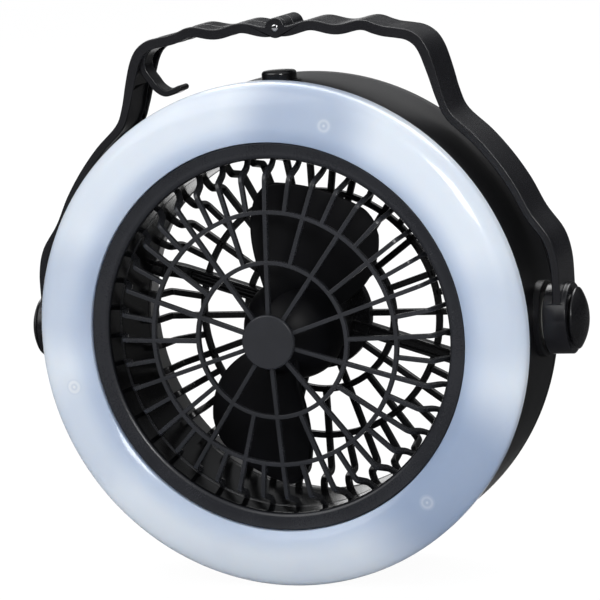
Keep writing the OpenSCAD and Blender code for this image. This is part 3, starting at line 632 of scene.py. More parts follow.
class Form:
    """A mesh under construction, in fan space and millimetres."""

    def __init__(self) -> None:
        """Starts an empty mesh."""
        self.mesh = bmesh.new()

    @classmethod
    def turned(cls, profile: Sequence[Point], axis: Axis, steps: int, closed: bool = True) -> Form:
        """Turns a half section about an axis through the origin.

        Args:
            profile: points as (radius, place along the axis).
            axis: the axis.
            steps: the facets of a full turn.
            closed: whether the section is a closed loop; if not, it starts and ends on the axis.

        Returns:
            The turned form.
        """
        form = cls()
        along = Vector(axis.value)
        out = Vector(Axis.UP.value if axis is Axis.RIGHT else Axis.RIGHT.value)
        ring = [form.mesh.verts.new(out * r + along * t) for r, t in profile]
        ends = zip(ring, ring[1:] + ring[:1]) if closed else zip(ring, ring[1:])
        edges = [form.mesh.edges.new(pair) for pair in ends]
        bmesh.ops.spin(
            form.mesh, geom=ring + edges, cent=(0, 0, 0), axis=along, dvec=(0, 0, 0),
            angle=FULL_TURN, steps=steps, use_merge=True, use_duplicate=False,
        )
        return form.healed()

    @classmethod
    def prism(cls, outline: Sequence[Point], start: float, end: float) -> Form:
        """Raises an outline, drawn in x and z, from one depth to another."""
        form = cls()
        face = form.mesh.faces.new([form.mesh.verts.new((x, start, z)) for x, z in outline])
        grown = bmesh.ops.extrude_face_region(form.mesh, geom=[face])
        top = [item for item in grown["geom"] if isinstance(item, bmesh.types.BMVert)]
        bmesh.ops.translate(form.mesh, verts=top, vec=(0, end - start, 0))
        return form.healed()

    @classmethod
    def block(cls, low: Colour, high: Colour) -> Form:
        """Returns a box between two corners."""
        form = cls()
        size = Vector(high) - Vector(low)
        bmesh.ops.create_cube(form.mesh, size=1.0)
        bmesh.ops.scale(form.mesh, verts=form.mesh.verts[:], vec=size)
        return form.moved(Matrix.Translation((Vector(low) + Vector(high)) / 2))

    @classmethod
    def rod(
        cls, radius: float, start: float, end: float, axis: Axis, at: Colour = (0, 0, 0), steps: int = 48
    ) -> Form:
        """Returns a round bar along an axis, through a point."""
        profile = [(0.0, start), (radius, start), (radius, end), (0.0, end)]
        return cls.turned(profile, axis, steps, closed=False).moved(Matrix.Translation(at))

    def _merged(self, distance: float) -> Form:
        """Merges what lies closer together than a distance."""
        bmesh.ops.remove_doubles(self.mesh, verts=self.mesh.verts[:], dist=distance)
        bmesh.ops.dissolve_degenerate(self.mesh, edges=self.mesh.edges[:], dist=distance)
        return self

    def healed(self) -> Form:
        """Merges doubles and turns the faces outwards."""
        self._merged(0.0005)
        bmesh.ops.recalc_face_normals(self.mesh, faces=self.mesh.faces[:])
        return self

    def moved(self, matrix: Matrix) -> Form:
        """Moves the whole form."""
        bmesh.ops.transform(self.mesh, matrix=matrix, verts=self.mesh.verts[:])
        return self

    def copy(self) -> Form:
        """Returns a copy."""
        twin = Form()
        twin.mesh = self.mesh.copy()
        return twin

    def joined(self, others: Iterable[Form]) -> Form:
        """Adds the other forms' shells to this one and frees them."""
        for other in others:
            spare = bpy.data.meshes.new("spare")
            other.mesh.to_mesh(spare)
            self.mesh.from_mesh(spare)
            other.mesh.free()
            bpy.data.meshes.remove(spare)
        return self

    def around(self, turns: Iterable[float]) -> Form:
        """Repeats the form at several angles about the fan's axis, in degrees from +X to +Z."""
        made = [self.copy().moved(Matrix.Rotation(-math.radians(turn), 4, "Y")) for turn in turns]
        self.mesh.free()
        return Form().joined(made)

    def mirrored(self) -> Form:
        """Returns a copy on the other side of the fan."""
        twin = self.copy().moved(Matrix.Scale(-1, 4, (1, 0, 0)))
        bmesh.ops.reverse_faces(twin.mesh, faces=twin.mesh.faces[:])
        return twin

    def softened(self, width: float, segments: int = 2, sharper: float = 35.0) -> Form:
        """Rounds the edges at which faces meet at more than an angle.

        Args:
            width: how far the rounding reaches from an edge.
            segments: the facets across it.
            sharper: the least angle between faces, in degrees.

        Returns:
            This form.
        """
        limit = math.radians(sharper)
        self.mesh.normal_update()
        sharp = [e for e in self.mesh.edges if len(e.link_faces) == 2 and e.calc_face_angle(0.0) > limit]
        bmesh.ops.bevel(
            self.mesh, geom=sharp, offset=width, offset_type="OFFSET", segments=segments, profile=0.5,
            affect="EDGES", clamp_overlap=False, material=-1, loop_slide=True,
        )
        return self

    def _combined(self, other: Form, operation: str) -> Form:
        """Combines this form with another by the exact solver.

        Args:
            other: the other form, which is freed.
            operation: DIFFERENCE, INTERSECT or UNION.

        Returns:
            This form, changed.
        """
        made = []
        for form in (self, other):
            data = bpy.data.meshes.new("spare")
            form.mesh.to_mesh(data)
            form.mesh.free()
            thing = bpy.data.objects.new("spare", data)
            bpy.context.scene.collection.objects.link(thing)
            made.append(thing)
        step = made[0].modifiers.new("combine", "BOOLEAN")
        step.solver = "EXACT"
        step.operation = operation
        step.object = made[1]
        depsgraph = bpy.context.evaluated_depsgraph_get()
        result = bpy.data.meshes.new_from_object(made[0].evaluated_get(depsgraph))
        self.mesh = bmesh.new()
        self.mesh.from_mesh(result)
        for thing in made:
            data = thing.data
            bpy.data.objects.remove(thing)
            bpy.data.meshes.remove(data)
        bpy.data.meshes.remove(result)
        return self._merged(0.002)

    def less(self, *others: Form) -> Form:
        """Cuts the other forms out of this one."""
        for other in others:
            self._combined(other, "DIFFERENCE")
        return self

    def plus(self, *others: Form) -> Form:
        """Welds the other forms to this one."""
        for other in others:
            self._combined(other, "UNION")
        return self

    def within(self, other: Form) -> Form:
        """Keeps only what lies inside the other form."""
        return self._combined(other, "INTERSECT")


class Wardrobe:
    """Holds the finishes' materials and turns forms into pieces of the object."""

    def __init__(self, nodes: dict[str, bpy.types.Object]) -> None:
        """Starts with the frame's nodes.

        Args:
            nodes: the frame's nodes by name.
        """
        self.nodes = nodes
        self.materials: dict[str, bpy.types.Material] = {}

    def material(self, slot: str) -> bpy.types.Material:
        """Returns the material of a slot, made when it is first asked for."""
        if slot not in self.materials:
            self.materials[slot] = FINISHES[slot].make()
        return self.materials[slot]

    def piece(
        self, form: Form, name: str, body: Body, slot: str, replaces: Sequence[str] = (), sharp: float = 40.0
    ) -> bpy.types.Object:
        """Turns a form into a piece in its place.

        Args:
            form: the form, in fan space; it is freed.
            name: the piece's name.
            body: the body that it rides on.
            slot: the material slot that it takes its finish from.
            replaces: the nodes that it stands for.
            sharp: the angle past which an edge stays a crease, in degrees.

        Returns:
            The piece.
        """
        form.moved(Matrix.Translation((0, -MID_DEPTH, AXIS_HEIGHT)))
        form.moved(Matrix.Scale(MM, 4))
        data = bpy.data.meshes.new(name)
        form.mesh.to_mesh(data)
        form.mesh.free()
        data.shade_smooth()
        data.set_sharp_from_angle(angle=math.radians(sharp))
        data.materials.append(self.material(slot))
        piece = bpy.data.objects.new(name, data)
        bpy.context.scene.collection.objects.link(piece)
        weigh = piece.modifiers.new("even_shading", "WEIGHTED_NORMAL")
        weigh.keep_sharp = True
        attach(piece, body.value)
        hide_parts(*replaces)
        LOG.info("%s: %d faces on %s", name, len(data.polygons), body.value)
        return piece

    def dress(self, record: dict) -> None:
        """Gives every node that still shows the material of its slot.

        Args:
            record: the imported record, which names each node's slot.
        """
        for row in record["subparts"]:
            node = self.nodes[row["node"]]
            if node.hide_render:
                continue
            node.data.materials.clear()
            node.data.materials.append(self.material(row["material_slot"]))
            LOG.info("%s dressed in %s", row["node"], row["material_slot"])


# ---------- lamp ring ----------


@dataclass
class LampRing:
    """The frosted diffuser and the dark bezel inside it."""

    outer: float = 100.0
    crown: float = 84.0
    crown_depth: float = -3.0
    shoulder_depth: float = 5.4
    shoulder_power: float = 2.3
    wall: float = 2.0
    end: float = 9.0
    foot: float = 76.9
    foot_drop: float = 2.6
    flange_depth: float = 5.0
    bezel: float = 76.6
    collar_end: float = 13.0
    post: float = 2.75

    def _shoulder(self, inset: float) -> list[Point]:
        """Returns the rounded outer half of the diffuser, moved in by inset."""
        made = []
        for i in range(25):
            share = math.sin(math.radians(90 * i / 24)) ** (2 / self.shoulder_power)
            fall = (1 - min(1.0, share) ** self.shoulder_power) ** (1 / self.shoulder_power)
            reach = self.outer - self.crown - inset
            rise = self.shoulder_depth - self.crown_depth - inset
            made.append((self.crown + reach * share, self.shoulder_depth - rise * fall))
        return made

    def _slope(self, inset: float, start: float) -> list[Point]:
        """Returns the dished inner part of the diffuser, from a radius out to the crown."""
        made = []
        for i in range(10):
            radius = start + (self.crown - start) * i / 10
            share = (self.crown - radius) / (self.crown - self.bezel)
            made.append((radius, self.crown_depth + inset + self.foot_drop * share * share))
        return made

    def diffuser(self) -> Form:
        """Returns the diffuser with its three posts."""
        profile = [
            *self._slope(0.0, self.foot),
            *self._shoulder(0.0),
            (self.outer, self.end),
            (self.outer - self.wall, self.end),
            *self._shoulder(self.wall)[::-1],
            *self._slope(self.wall, self.foot + self.wall)[::-1],
            (self.foot + self.wall, self.flange_depth),
            (self.foot, self.flange_depth),
        ]
        shell = Form.turned(profile, Axis.DEPTH, RING_FACETS).softened(0.3, 3)
        post = Form.rod(self.post, self.crown_depth + 1, 9.8, Axis.DEPTH, (POST_RING, 0, 0), 32)
        return shell.joined([post.around(POST_TURNS)])

    def bezel_ring(self) -> Form:
        """Returns the bezel with its collar and its hidden flange."""
        profile = [
            *arc((DUCT + 2.2, 3.4), 2.2, 180, 270, 8),
            (DUCT + 3.6, 1.12),
            (self.bezel - 0.35, 0.3),
            (self.bezel, 0.65),
            (self.bezel, 5.0),
            (self.bezel + 4.4, 5.0),
            (self.bezel + 4.4, 7.5),
            (self.bezel + 1.9, 7.5),
            (self.bezel + 1.9, 11.5),
            (self.bezel - 0.1, 11.5),
            (self.bezel - 0.1, 7.5),
            (DUCT + 2.0, 7.5),
            (DUCT + 2.0, self.collar_end),
            (DUCT, self.collar_end),
        ]
        return Form.turned(profile, Axis.DEPTH, RING_FACETS).softened(0.25, 2, 30)

    def build(self, wardrobe: Wardrobe) -> None:
        """Builds both pieces."""
        wardrobe.piece(self.diffuser(), "diffuser_ring", Body.FAN, "diffuser", ["front_lens"])
        wardrobe.piece(self.bezel_ring(), "bezel_ring", Body.FAN, "bezel_grey", ["front_bezel"])


# ---------- grilles ----------


def hoop(radius: float, width: float, start: float, end: float, round_by: float) -> Form:
    """Returns a flat ring of a mean radius and a width, between two depths."""
    low, high = radius - width / 2, radius + width / 2
    profile = [(low, start), (high, start), (high, end), (low, end)]
    return Form.turned(profile, Axis.DEPTH, HOOP_FACETS).softened(round_by, 2)


def lattice(
    hoops: Iterable[tuple[float, ...]], paths: Iterable[Sequence[Point]], thickness: float, width: float,
    first_turn: float, round_by: float,
) -> list[Form]:
    """Builds a cage's hoops and its three rows of 10, 20 and 40 ribs.

    Args:
        hoops: each hoop's mean radius, width, and the depths where it starts and ends.
        paths: the middle line of each row's ribs, as (radius, depth).
        thickness: the ribs' depth across their path.
        width: their width across the radius.
        first_turn: the angle of each row's first rib.
        round_by: the rounding of all edges.

    Returns:
        The hoops and the rows of ribs.
    """
    made = [hoop(*sizes, round_by) for sizes in hoops]
    for count, path in zip((10, 20, 40), paths):
        bar = Form.prism(ribbon(path, thickness), -width / 2, width / 2).moved(DEPTH_TO_HEIGHT)
        turns = (first_turn + 360 / count * i for i in range(count))
        made.append(bar.softened(round_by, 2, 50).around(turns))
    return made


@dataclass
class FrontGrille:
    """The domed cage in front of the blades, with its cap."""

    cap: float = 10.7
    reach: float = 9.2
    first: float = 30.45
    first_depth: float = -4.85
    second: float = 49.85
    second_depth: float = -2.4
    rib: float = 1.7
    rib_depth: float = 2.5
    knuckle: Point = (63.4, 1.0)
    ankle: Point = (66.7, 10.4)
    cap_rib_depth: float = -7.3
    first_turn: float = 90.0
    rounding: float = 0.3

    def cap_form(self) -> Form:
        """Returns the cap: a plain disc over three steps."""
        top, edge, foot = -self.reach, self.cap, self.second_depth
        profile = [
            (0, top), (edge - 0.5, top), (edge, top + 0.5), (edge, top + 1.6), (edge - 0.5, top + 1.6),
            (edge - 0.5, top + 3.0), (edge - 1.0, top + 3.0), (edge - 1.0, top + 4.6),
            (edge - 1.6, top + 4.6), (edge - 1.6, foot), (edge - 3.2, foot), (edge - 3.2, top + 2.4),
            (0, top + 2.4),
        ]
        return Form.turned(profile, Axis.DEPTH, DISC_FACETS, closed=False).softened(0.14, 2, 30)

    def outer_path(self) -> list[Point]:
        """Returns the outer ribs' line, over the knuckle and back to the rim."""
        start = (self.second, self.second_depth + self.rib_depth / 2)
        return bent([start, self.knuckle, self.ankle, (DUCT + 0.6, 14.5)], 1.6)

    def build(self, wardrobe: Wardrobe) -> None:
        """Builds the cage as one piece."""
        half = self.rib_depth / 2
        hoops = [
            (self.first, self.rib, self.first_depth, self.first_depth + self.rib_depth),
            (self.second, self.rib, self.second_depth, self.second_depth + self.rib_depth),
            (DUCT + 1.7, 3.4, 13.2, 15.8),
        ]
        inner = [(self.cap - 2, self.cap_rib_depth + half), (self.first, self.first_depth + half)]
        middle = [(self.first, self.first_depth + half), (self.second, self.second_depth + half)]
        paths = [inner, middle, self.outer_path()]
        cage = lattice(hoops, paths, self.rib_depth, self.rib, self.first_turn, self.rounding)
        wardrobe.piece(self.cap_form().joined(cage), "front_cage", Body.FAN, "grille_grey", ["front_grille"])


@dataclass
class RearGrille:
    """The cage behind the blades, with the motor's seat and its two struts."""

    first: float = 31.0
    second: float = 50.0
    face: float = 55.0
    rib: float = 2.6
    thick: float = 2.4
    knuckle: float = 64.4
    ankle: Point = (66.4, 45.6)
    seat: float = 22.0
    motor: float = 14.0
    turn_ring: float = 58.0
    strut_turn_radius: float = 9.5
    strut: float = 5.6
    strut_depth: float = 5.0
    strut_turn: float = 162.0
    channel: float = 3.0
    channel_depth: float = 2.4
    clamp_ring: float = 17.2
    first_turn: float = 0.0
    rounding: float = 0.35

    def seat_form(self) -> Form:
        """Returns the seat with the motor's cup and the clamp's posts."""
        face = self.face
        back = face + self.thick
        disc = Form.rod(self.seat, face - 2, back, Axis.DEPTH, steps=DISC_FACETS).softened(0.5, 2)
        cup = hoop(self.motor + 1.01, 1.98, 31.5, face - 1.5, 0.3)
        lip, bed = back + 0.5, back + 0.1
        profile = [(0, back), (12, back), (12, lip), (10.8, lip), (10.8, bed), (0, bed)]
        dish = Form.turned(profile, Axis.DEPTH, DISC_FACETS, closed=False)
        post = Form.rod(2.6, 30, face - 1, Axis.DEPTH, (self.clamp_ring, 0, 0), BORE_FACETS)
        bore = Form.rod(1.02, 29, 39, Axis.DEPTH, (self.clamp_ring, 0, 0), BORE_FACETS)
        return disc.joined([cup, dish, post.less(bore).around([72.0, 252.0])])

    def struts(self) -> Form:
        """Returns the two struts with their wire channels."""
        middle = self.face + self.thick - self.strut_depth / 2
        bend = arc((self.turn_ring, middle - self.strut_turn_radius), self.strut_turn_radius, 90, 0, 8)
        outline = ribbon([(self.motor + 1, middle), *bend], self.strut_depth)
        bar = Form.prism(outline, -self.strut / 2, self.strut / 2)
        low = self.face + self.thick - self.strut_depth - 1
        side, high = self.channel / 2, low + 1 + self.channel_depth
        groove = Form.block((self.motor + 2, low, -side), (self.turn_ring - 2, high, side))
        bar.moved(DEPTH_TO_HEIGHT).less(groove).softened(0.4, 2, 50)
        return bar.around([self.strut_turn, self.strut_turn + 180])

    def build(self, wardrobe: Wardrobe) -> None:
        """Builds the cage as one piece."""
        depth = self.face + self.thick / 2
        inner = [(self.seat - 1, depth), (self.first, depth)]
        middle = [(self.first, depth), (self.second, depth)]
        outer = bent([(self.second, depth), (self.knuckle, depth), self.ankle, (DUCT + 0.6, 45.3)], 1.8)
        back = self.face + self.thick
        hoops = [(radius, self.rib, self.face, back) for radius in (self.first, self.second)]
        hoops.append((DUCT + 1.65, 3.5, 44.0, 46.6))
        paths = [inner, middle, outer]
        cage = lattice(hoops, paths, self.thick, self.rib, self.first_turn, self.rounding)
        form = self.seat_form().joined([*cage, self.struts()])
        wardrobe.piece(form, "rear_cage", Body.FAN, "grille_black", ["rear_grille"])


# ---------- body ----------


def ring_sector(inner: float, outer: float, start: float, end: float, front: float, back: float) -> Form:
    """Returns a solid sector of a ring between two angles and two depths."""
    outline = arc((0, 0), outer, start, end, 24) + arc((0, 0), inner, end, start, 24)
    return Form.prism(outline, front, back)


def crossed_screw(shank: float, tip: float, seat: float, head: float, top: float) -> Form:
    """Returns a pan-head screw along the depth, with a crossed recess.

    Args:
        shank: the shank's radius.
        tip: the depth of its tip.
        seat: the depth of the head's underside.
        head: the head's radius.
        top: the depth of the head's crown.

    Returns:
        The screw, on the fan's axis.
    """
    rise = top - seat
    crown = [
        (head * math.cos(t) ** 0.5, seat + rise * (0.45 + 0.55 * math.sin(t)))
        for t in map(math.radians, (0, 22, 45, 66, 80))
    ]
    stem = [(0, tip), (shank * 0.5, tip), (shank, tip + 1), (shank, seat), (head, seat)]
    screw = Form.turned([*stem, *crown, (0.0, seat + rise)], Axis.DEPTH, 40, closed=False)
    reach, slot, floor = head * 0.62, head * 0.13, top - rise * 0.8
    flute = Form.block((-reach, floor, -slot), (reach, top + 1, slot))
    other = Form.block((-slot, floor, -reach), (slot, top + 1, reach))
    return screw.less(flute, other)


@dataclass
class Shell:
    """The ring-shaped body: the middle housing, the rear cover and the battery doors."""

    radius: float = 98.0
    wall: float = 2.5
    split: float = 56.0
    depth: float = 70.0
    rounding: float = 12.0
    flare: float = 75.0
    cover_wall: float = 2.2
    boss: float = 15.0
    fillet: float = 2.2
    boss_reach: float = 100.2
    bay: float = 247.0
    bay_half: float = 11.6
    ear: float = 18.4
    door_screw: float = 15.0
    grooves: int = 4
    groove_start: float = 3.2
    groove_pitch: float = 1.5
    screw_ring: float = 80.0
    screw_turns: tuple[float, ...] = (35.0, 145.0, 215.0, 325.0, 270.0)

    def housing(self) -> Form:
        """Returns the middle housing with its two bosses and the button's hole."""
        inside = self.radius - self.wall
        profile = [
            (DUCT, 16.0), (DUCT, 43.8), (DUCT + 2, 43.8), (DUCT + 2, 18.0),
            (DUCT + 6, 18.0), (DUCT + 6, 13.5), (inside, 13.5), (inside, self.split),
            (self.radius - 0.3, self.split), (self.radius, self.split - 0.3), (self.radius, 9.7),
            (self.radius - 0.4, 9.3), (self.radius - 0.4, 6.8), (self.radius - 2.2, 6.8),
            (self.radius - 3.4, 11.5), (DUCT + 3.9, 11.5), (DUCT + 3.9, 16.0),
        ]
        rim, at = BUTTON_RADIUS + 0.3, (0, BUTTON_DEPTH, 0)
        shell = Form.turned(profile, Axis.DEPTH, RING_FACETS).less(Form.rod(rim, 88, 104, Axis.UP, at, 64))
        profile = [
            (rim, 96.6), (rim + 1.5, 96.6), (rim + 1.5, 97.86), (rim + 1.1, 98.22), (rim + 0.3, 98.22),
            (rim, 98.0),
        ]
        lip = Form.turned(profile, Axis.UP, 64).moved(Matrix.Translation(at))
        return shell.joined([lip, *self._bosses()])

    def _bosses(self) -> list[Form]:
        """Returns the pivot bosses, which flare where they leave the shell."""
        flare = arc((self.boss + self.fillet, 94.6 + self.fillet), self.fillet, 270, 180, 5)
        profile = [
            (0, 90), (self.boss + self.fillet, 90), *flare, (self.boss, self.boss_reach - 0.5),
            (self.boss - 0.5, self.boss_reach), (0, self.boss_reach),
        ]
        boss = Form.turned(profile, Axis.RIGHT, DISC_FACETS, closed=False)
        bore = Form.rod(2.02, 87, 102, Axis.RIGHT, steps=BORE_FACETS)
        boss.less(bore).moved(Matrix.Translation((0, PIVOT_DEPTH, 0)))
        return [boss.mirrored(), boss]

    def _cover_profile(self) -> list[Point]:
        """Returns the rear cover's half section."""
        inside = self.radius - self.wall
        centre = (self.radius - self.rounding, self.depth - self.rounding)
        return [
            *arc(centre, self.rounding, 0, 90, 20),
            (self.flare + 0.8, self.depth),
            (self.flare, self.depth - 0.8),
            (DUCT, 46.8),
            (DUCT + 2, 46.8),
            (self.flare + 2, self.depth - self.cover_wall),
            *arc(centre, self.rounding - self.cover_wall, 90, 12, 14),
            (inside - 1.8, self.split + 2.4),
            (inside - 1.8, self.split - 2.4),
            (inside - 0.2, self.split - 2.4),
            (inside - 0.2, self.split + 0.3),
            (self.radius - 0.3, self.split + 0.3),
            (self.radius, self.split + 0.6),
        ]

    def _at_screws(self, radius: float, start: float, end: float, turns: Iterable[float]) -> Form:
        """Returns round bars on the screws' ring.

        Args:
            radius: the bars' radius.
            start: how far they start in front of the rear face.
            end: how far they end in front of it.
            turns: their angles.

        Returns:
            The bars.
        """
        at = (self.screw_ring, 0, 0)
        return Form.rod(radius, self.depth - start, self.depth - end, Axis.DEPTH, at, 32).around(turns)

    def _door_sector(self, grow: float) -> Form:
        """Returns the left door's place, widened by grow."""
        return ring_sector(
            self.flare + 2.4 - grow, self.radius - 5 + grow, self.bay - self.bay_half - grow,
            self.bay + self.ear + grow, self.depth - 8, self.depth + 1,
        )

    def cover(self) -> Form:
        """Returns the rear cover with its doors' openings and its screw wells."""
        cover = Form.turned(self._cover_profile(), Axis.DEPTH, RING_FACETS)
        left = self._door_sector(0.25)
        right = left.mirrored()
        wells = [self._at_screws(2.8, 2.18, -1, [turn]) for turn in self.screw_turns]
        posts = self._at_screws(3.6, 6, 2.1, self.screw_turns)
        return cover.less(left, right).plus(posts).less(*wells).softened(0.22, 2, 38)

    def door(self) -> Form:
        """Returns the left battery door with its screw well and its finger grooves."""
        door = Form.turned(self._cover_profile(), Axis.DEPTH, RING_FACETS).within(self._door_sector(0.0))
        turns = [self.bay + self.door_screw]
        door.less(self._at_screws(2.6, 1.2, -1, turns), self._at_screws(1.6, 8, 0, turns))
        low, high = (80.5, self.depth - 0.45, -0.35), (88.5, self.depth + 1, 0.35)
        for i in range(self.grooves):
            turn = self.bay - self.bay_half + self.groove_start + self.groove_pitch * i
            door.less(Form.block(low, high).around([turn]))
        return door.softened(0.2, 2, 38)

    def build(self, wardrobe: Wardrobe) -> None:
        """Builds the housing, the cover, the doors and their screws."""
        left = self.door()
        right = left.mirrored()
        for form, name, node in (
            (self.housing(), "middle_shell", "middle_housing"), (self.cover(), "rear_shell", "rear_cover"),
            (left, "door_left", "battery_door_left"), (right, "door_right", "battery_door_right"),
        ):
            wardrobe.piece(form, name, Body.FAN, "shell_black", [node], 30)
        place = Matrix.Translation((self.screw_ring, 0, 0))
        turn = self.bay + self.door_screw
        for name, node, tip, well, head, sunk, turns in (
            ("cover_screws", "housing_screws", 45.0, 2.2, 2.6, 0.6, self.screw_turns),
            ("lid_screws", "door_screws", 61.5, 1.2, 2.4, 0.2, (turn, 180 - turn)),
        ):
            screw = crossed_screw(1.4, tip, self.depth - well, head, self.depth - sunk).moved(place)
            wardrobe.piece(screw.around(turns), name, Body.FAN, "screw_steel", [node])


# ---------- impeller ----------


@dataclass
class Impeller:
    """The domed hub and its two broad blades."""

    hub: float = 20.5
    nose: float = 3.0
    back: float = 25.0
    wall: float = 1.8
    core: float = 4.0
    radius: float = 60.0
    blade: float = 1.9
    blade_front: float = 6.4
    blade_reach: float = 17.2
    lead_offset: float = 5.1
    twist: float = 0.92
    along: int = 44
    across: int = 22

    def _hub_radius(self, depth: float) -> float:
        """Returns the hub's radius at a depth."""
        share = (self.back - depth) / (self.back - self.nose)
        return self.hub * math.sqrt(max(0.0, 1 - share * share))

    def _dome(self, radius: float, reach: float, start: float, end: float, steps: int) -> list[Point]:
        """Returns points round one of the hub's domes, from one angle off its nose to another."""
        turns = (math.radians(start + (end - start) * i / steps) for i in range(steps + 1))
        return [(radius * math.sin(t), self.back - reach * math.cos(t)) for t in turns]

    def _blade_point(self, u: float, v: float) -> Vector:
        """Returns the blade's middle surface: u from edge to edge, v from root to tip."""
        flat = self.hub - 1
        corner = max(0.0, abs(2 * u - 1) - 0.76) / 0.24
        tip = self.radius - 3 * u - 5 * (1 - math.sqrt(max(0.0, 1 - corner * corner)))
        root = self._hub_radius(self.blade_front + self.blade_reach * u**self.twist) - 1.2
        radius = root + (tip - root) * v
        beyond = max(0.0, radius - flat)
        lead = 90 + math.degrees(math.asin(self.lead_offset / min(radius, flat)))
        lead -= 13 * (beyond / (self.radius - flat)) ** 2.6
        trail = 24 + 26 * (beyond / (self.radius - 3 - flat)) ** 1.9
        angle = math.radians(lead + (trail - lead) * u)
        depth = self.blade_front - v + (self.blade_reach + v) * u**self.twist
        return Vector((radius * math.cos(angle), depth, radius * math.sin(angle)))

    def blade_form(self) -> Form:
        """Returns one blade: a grid laid on the blade's surface and given its thickness."""
        form = Form()
        bmesh.ops.create_grid(form.mesh, x_segments=self.along, y_segments=self.across, size=0.5)
        for vert in form.mesh.verts:
            vert.co = self._blade_point(vert.co.x + 0.5, vert.co.y + 0.5)
        bmesh.ops.recalc_face_normals(form.mesh, faces=form.mesh.faces[:])
        bmesh.ops.solidify(form.mesh, geom=form.mesh.faces[:], thickness=self.blade)
        return form.softened(0.5, 3, 60)

    def build(self, wardrobe: Wardrobe) -> None:
        """Builds the impeller as one piece."""
        reach, inside = self.back - self.nose, self.hub - self.wall
        start = math.degrees(math.asin(self.core / inside))
        outer = self._dome(self.hub, reach, 0, 90, 18)
        inner = self._dome(inside, reach - self.wall, 90, start, 14)
        socket, end = self.back - 5, self.nose + 3
        profile = [*outer, *inner, (self.core, socket), (1.0, socket), (1.0, end), (0, end)]
        form = Form.turned(profile, Axis.DEPTH, DISC_FACETS, closed=False).softened(0.2, 2, 50)
        form.joined([self.blade_form().around([0.0, 180.0])])
        wardrobe.piece(form, "impeller_blades", Body.ROTOR, "impeller_black", ["impeller"])


# ---------- button ----------


@dataclass
class PushButton:
    """The round button on top of the body."""

    top: float = 101.9
    edge: float = 1.3
    flange: float = 94.75

    def build(self, wardrobe: Wardrobe) -> None:
        """Builds the button."""
        side, rim, foot = BUTTON_RADIUS, BUTTON_RADIUS + 1.3, self.flange - 1.4
        crown = arc((side - self.edge, self.top - self.edge), self.edge, 0, 78, 6)
        profile = [
            (0, foot), (rim, foot), (rim, self.flange), (side, self.flange), *crown,
            (side - 3.4, self.top + 0.16), (0, self.top + 0.2),
        ]
        form = Form.turned(profile, Axis.UP, DISC_FACETS, closed=False)
        form.moved(Matrix.Translation((0, BUTTON_DEPTH, 0)))
        wardrobe.piece(form, "button_cap", Body.BUTTON, "button_black", ["push_button"], 50)


# ---------- handle and hook ----------


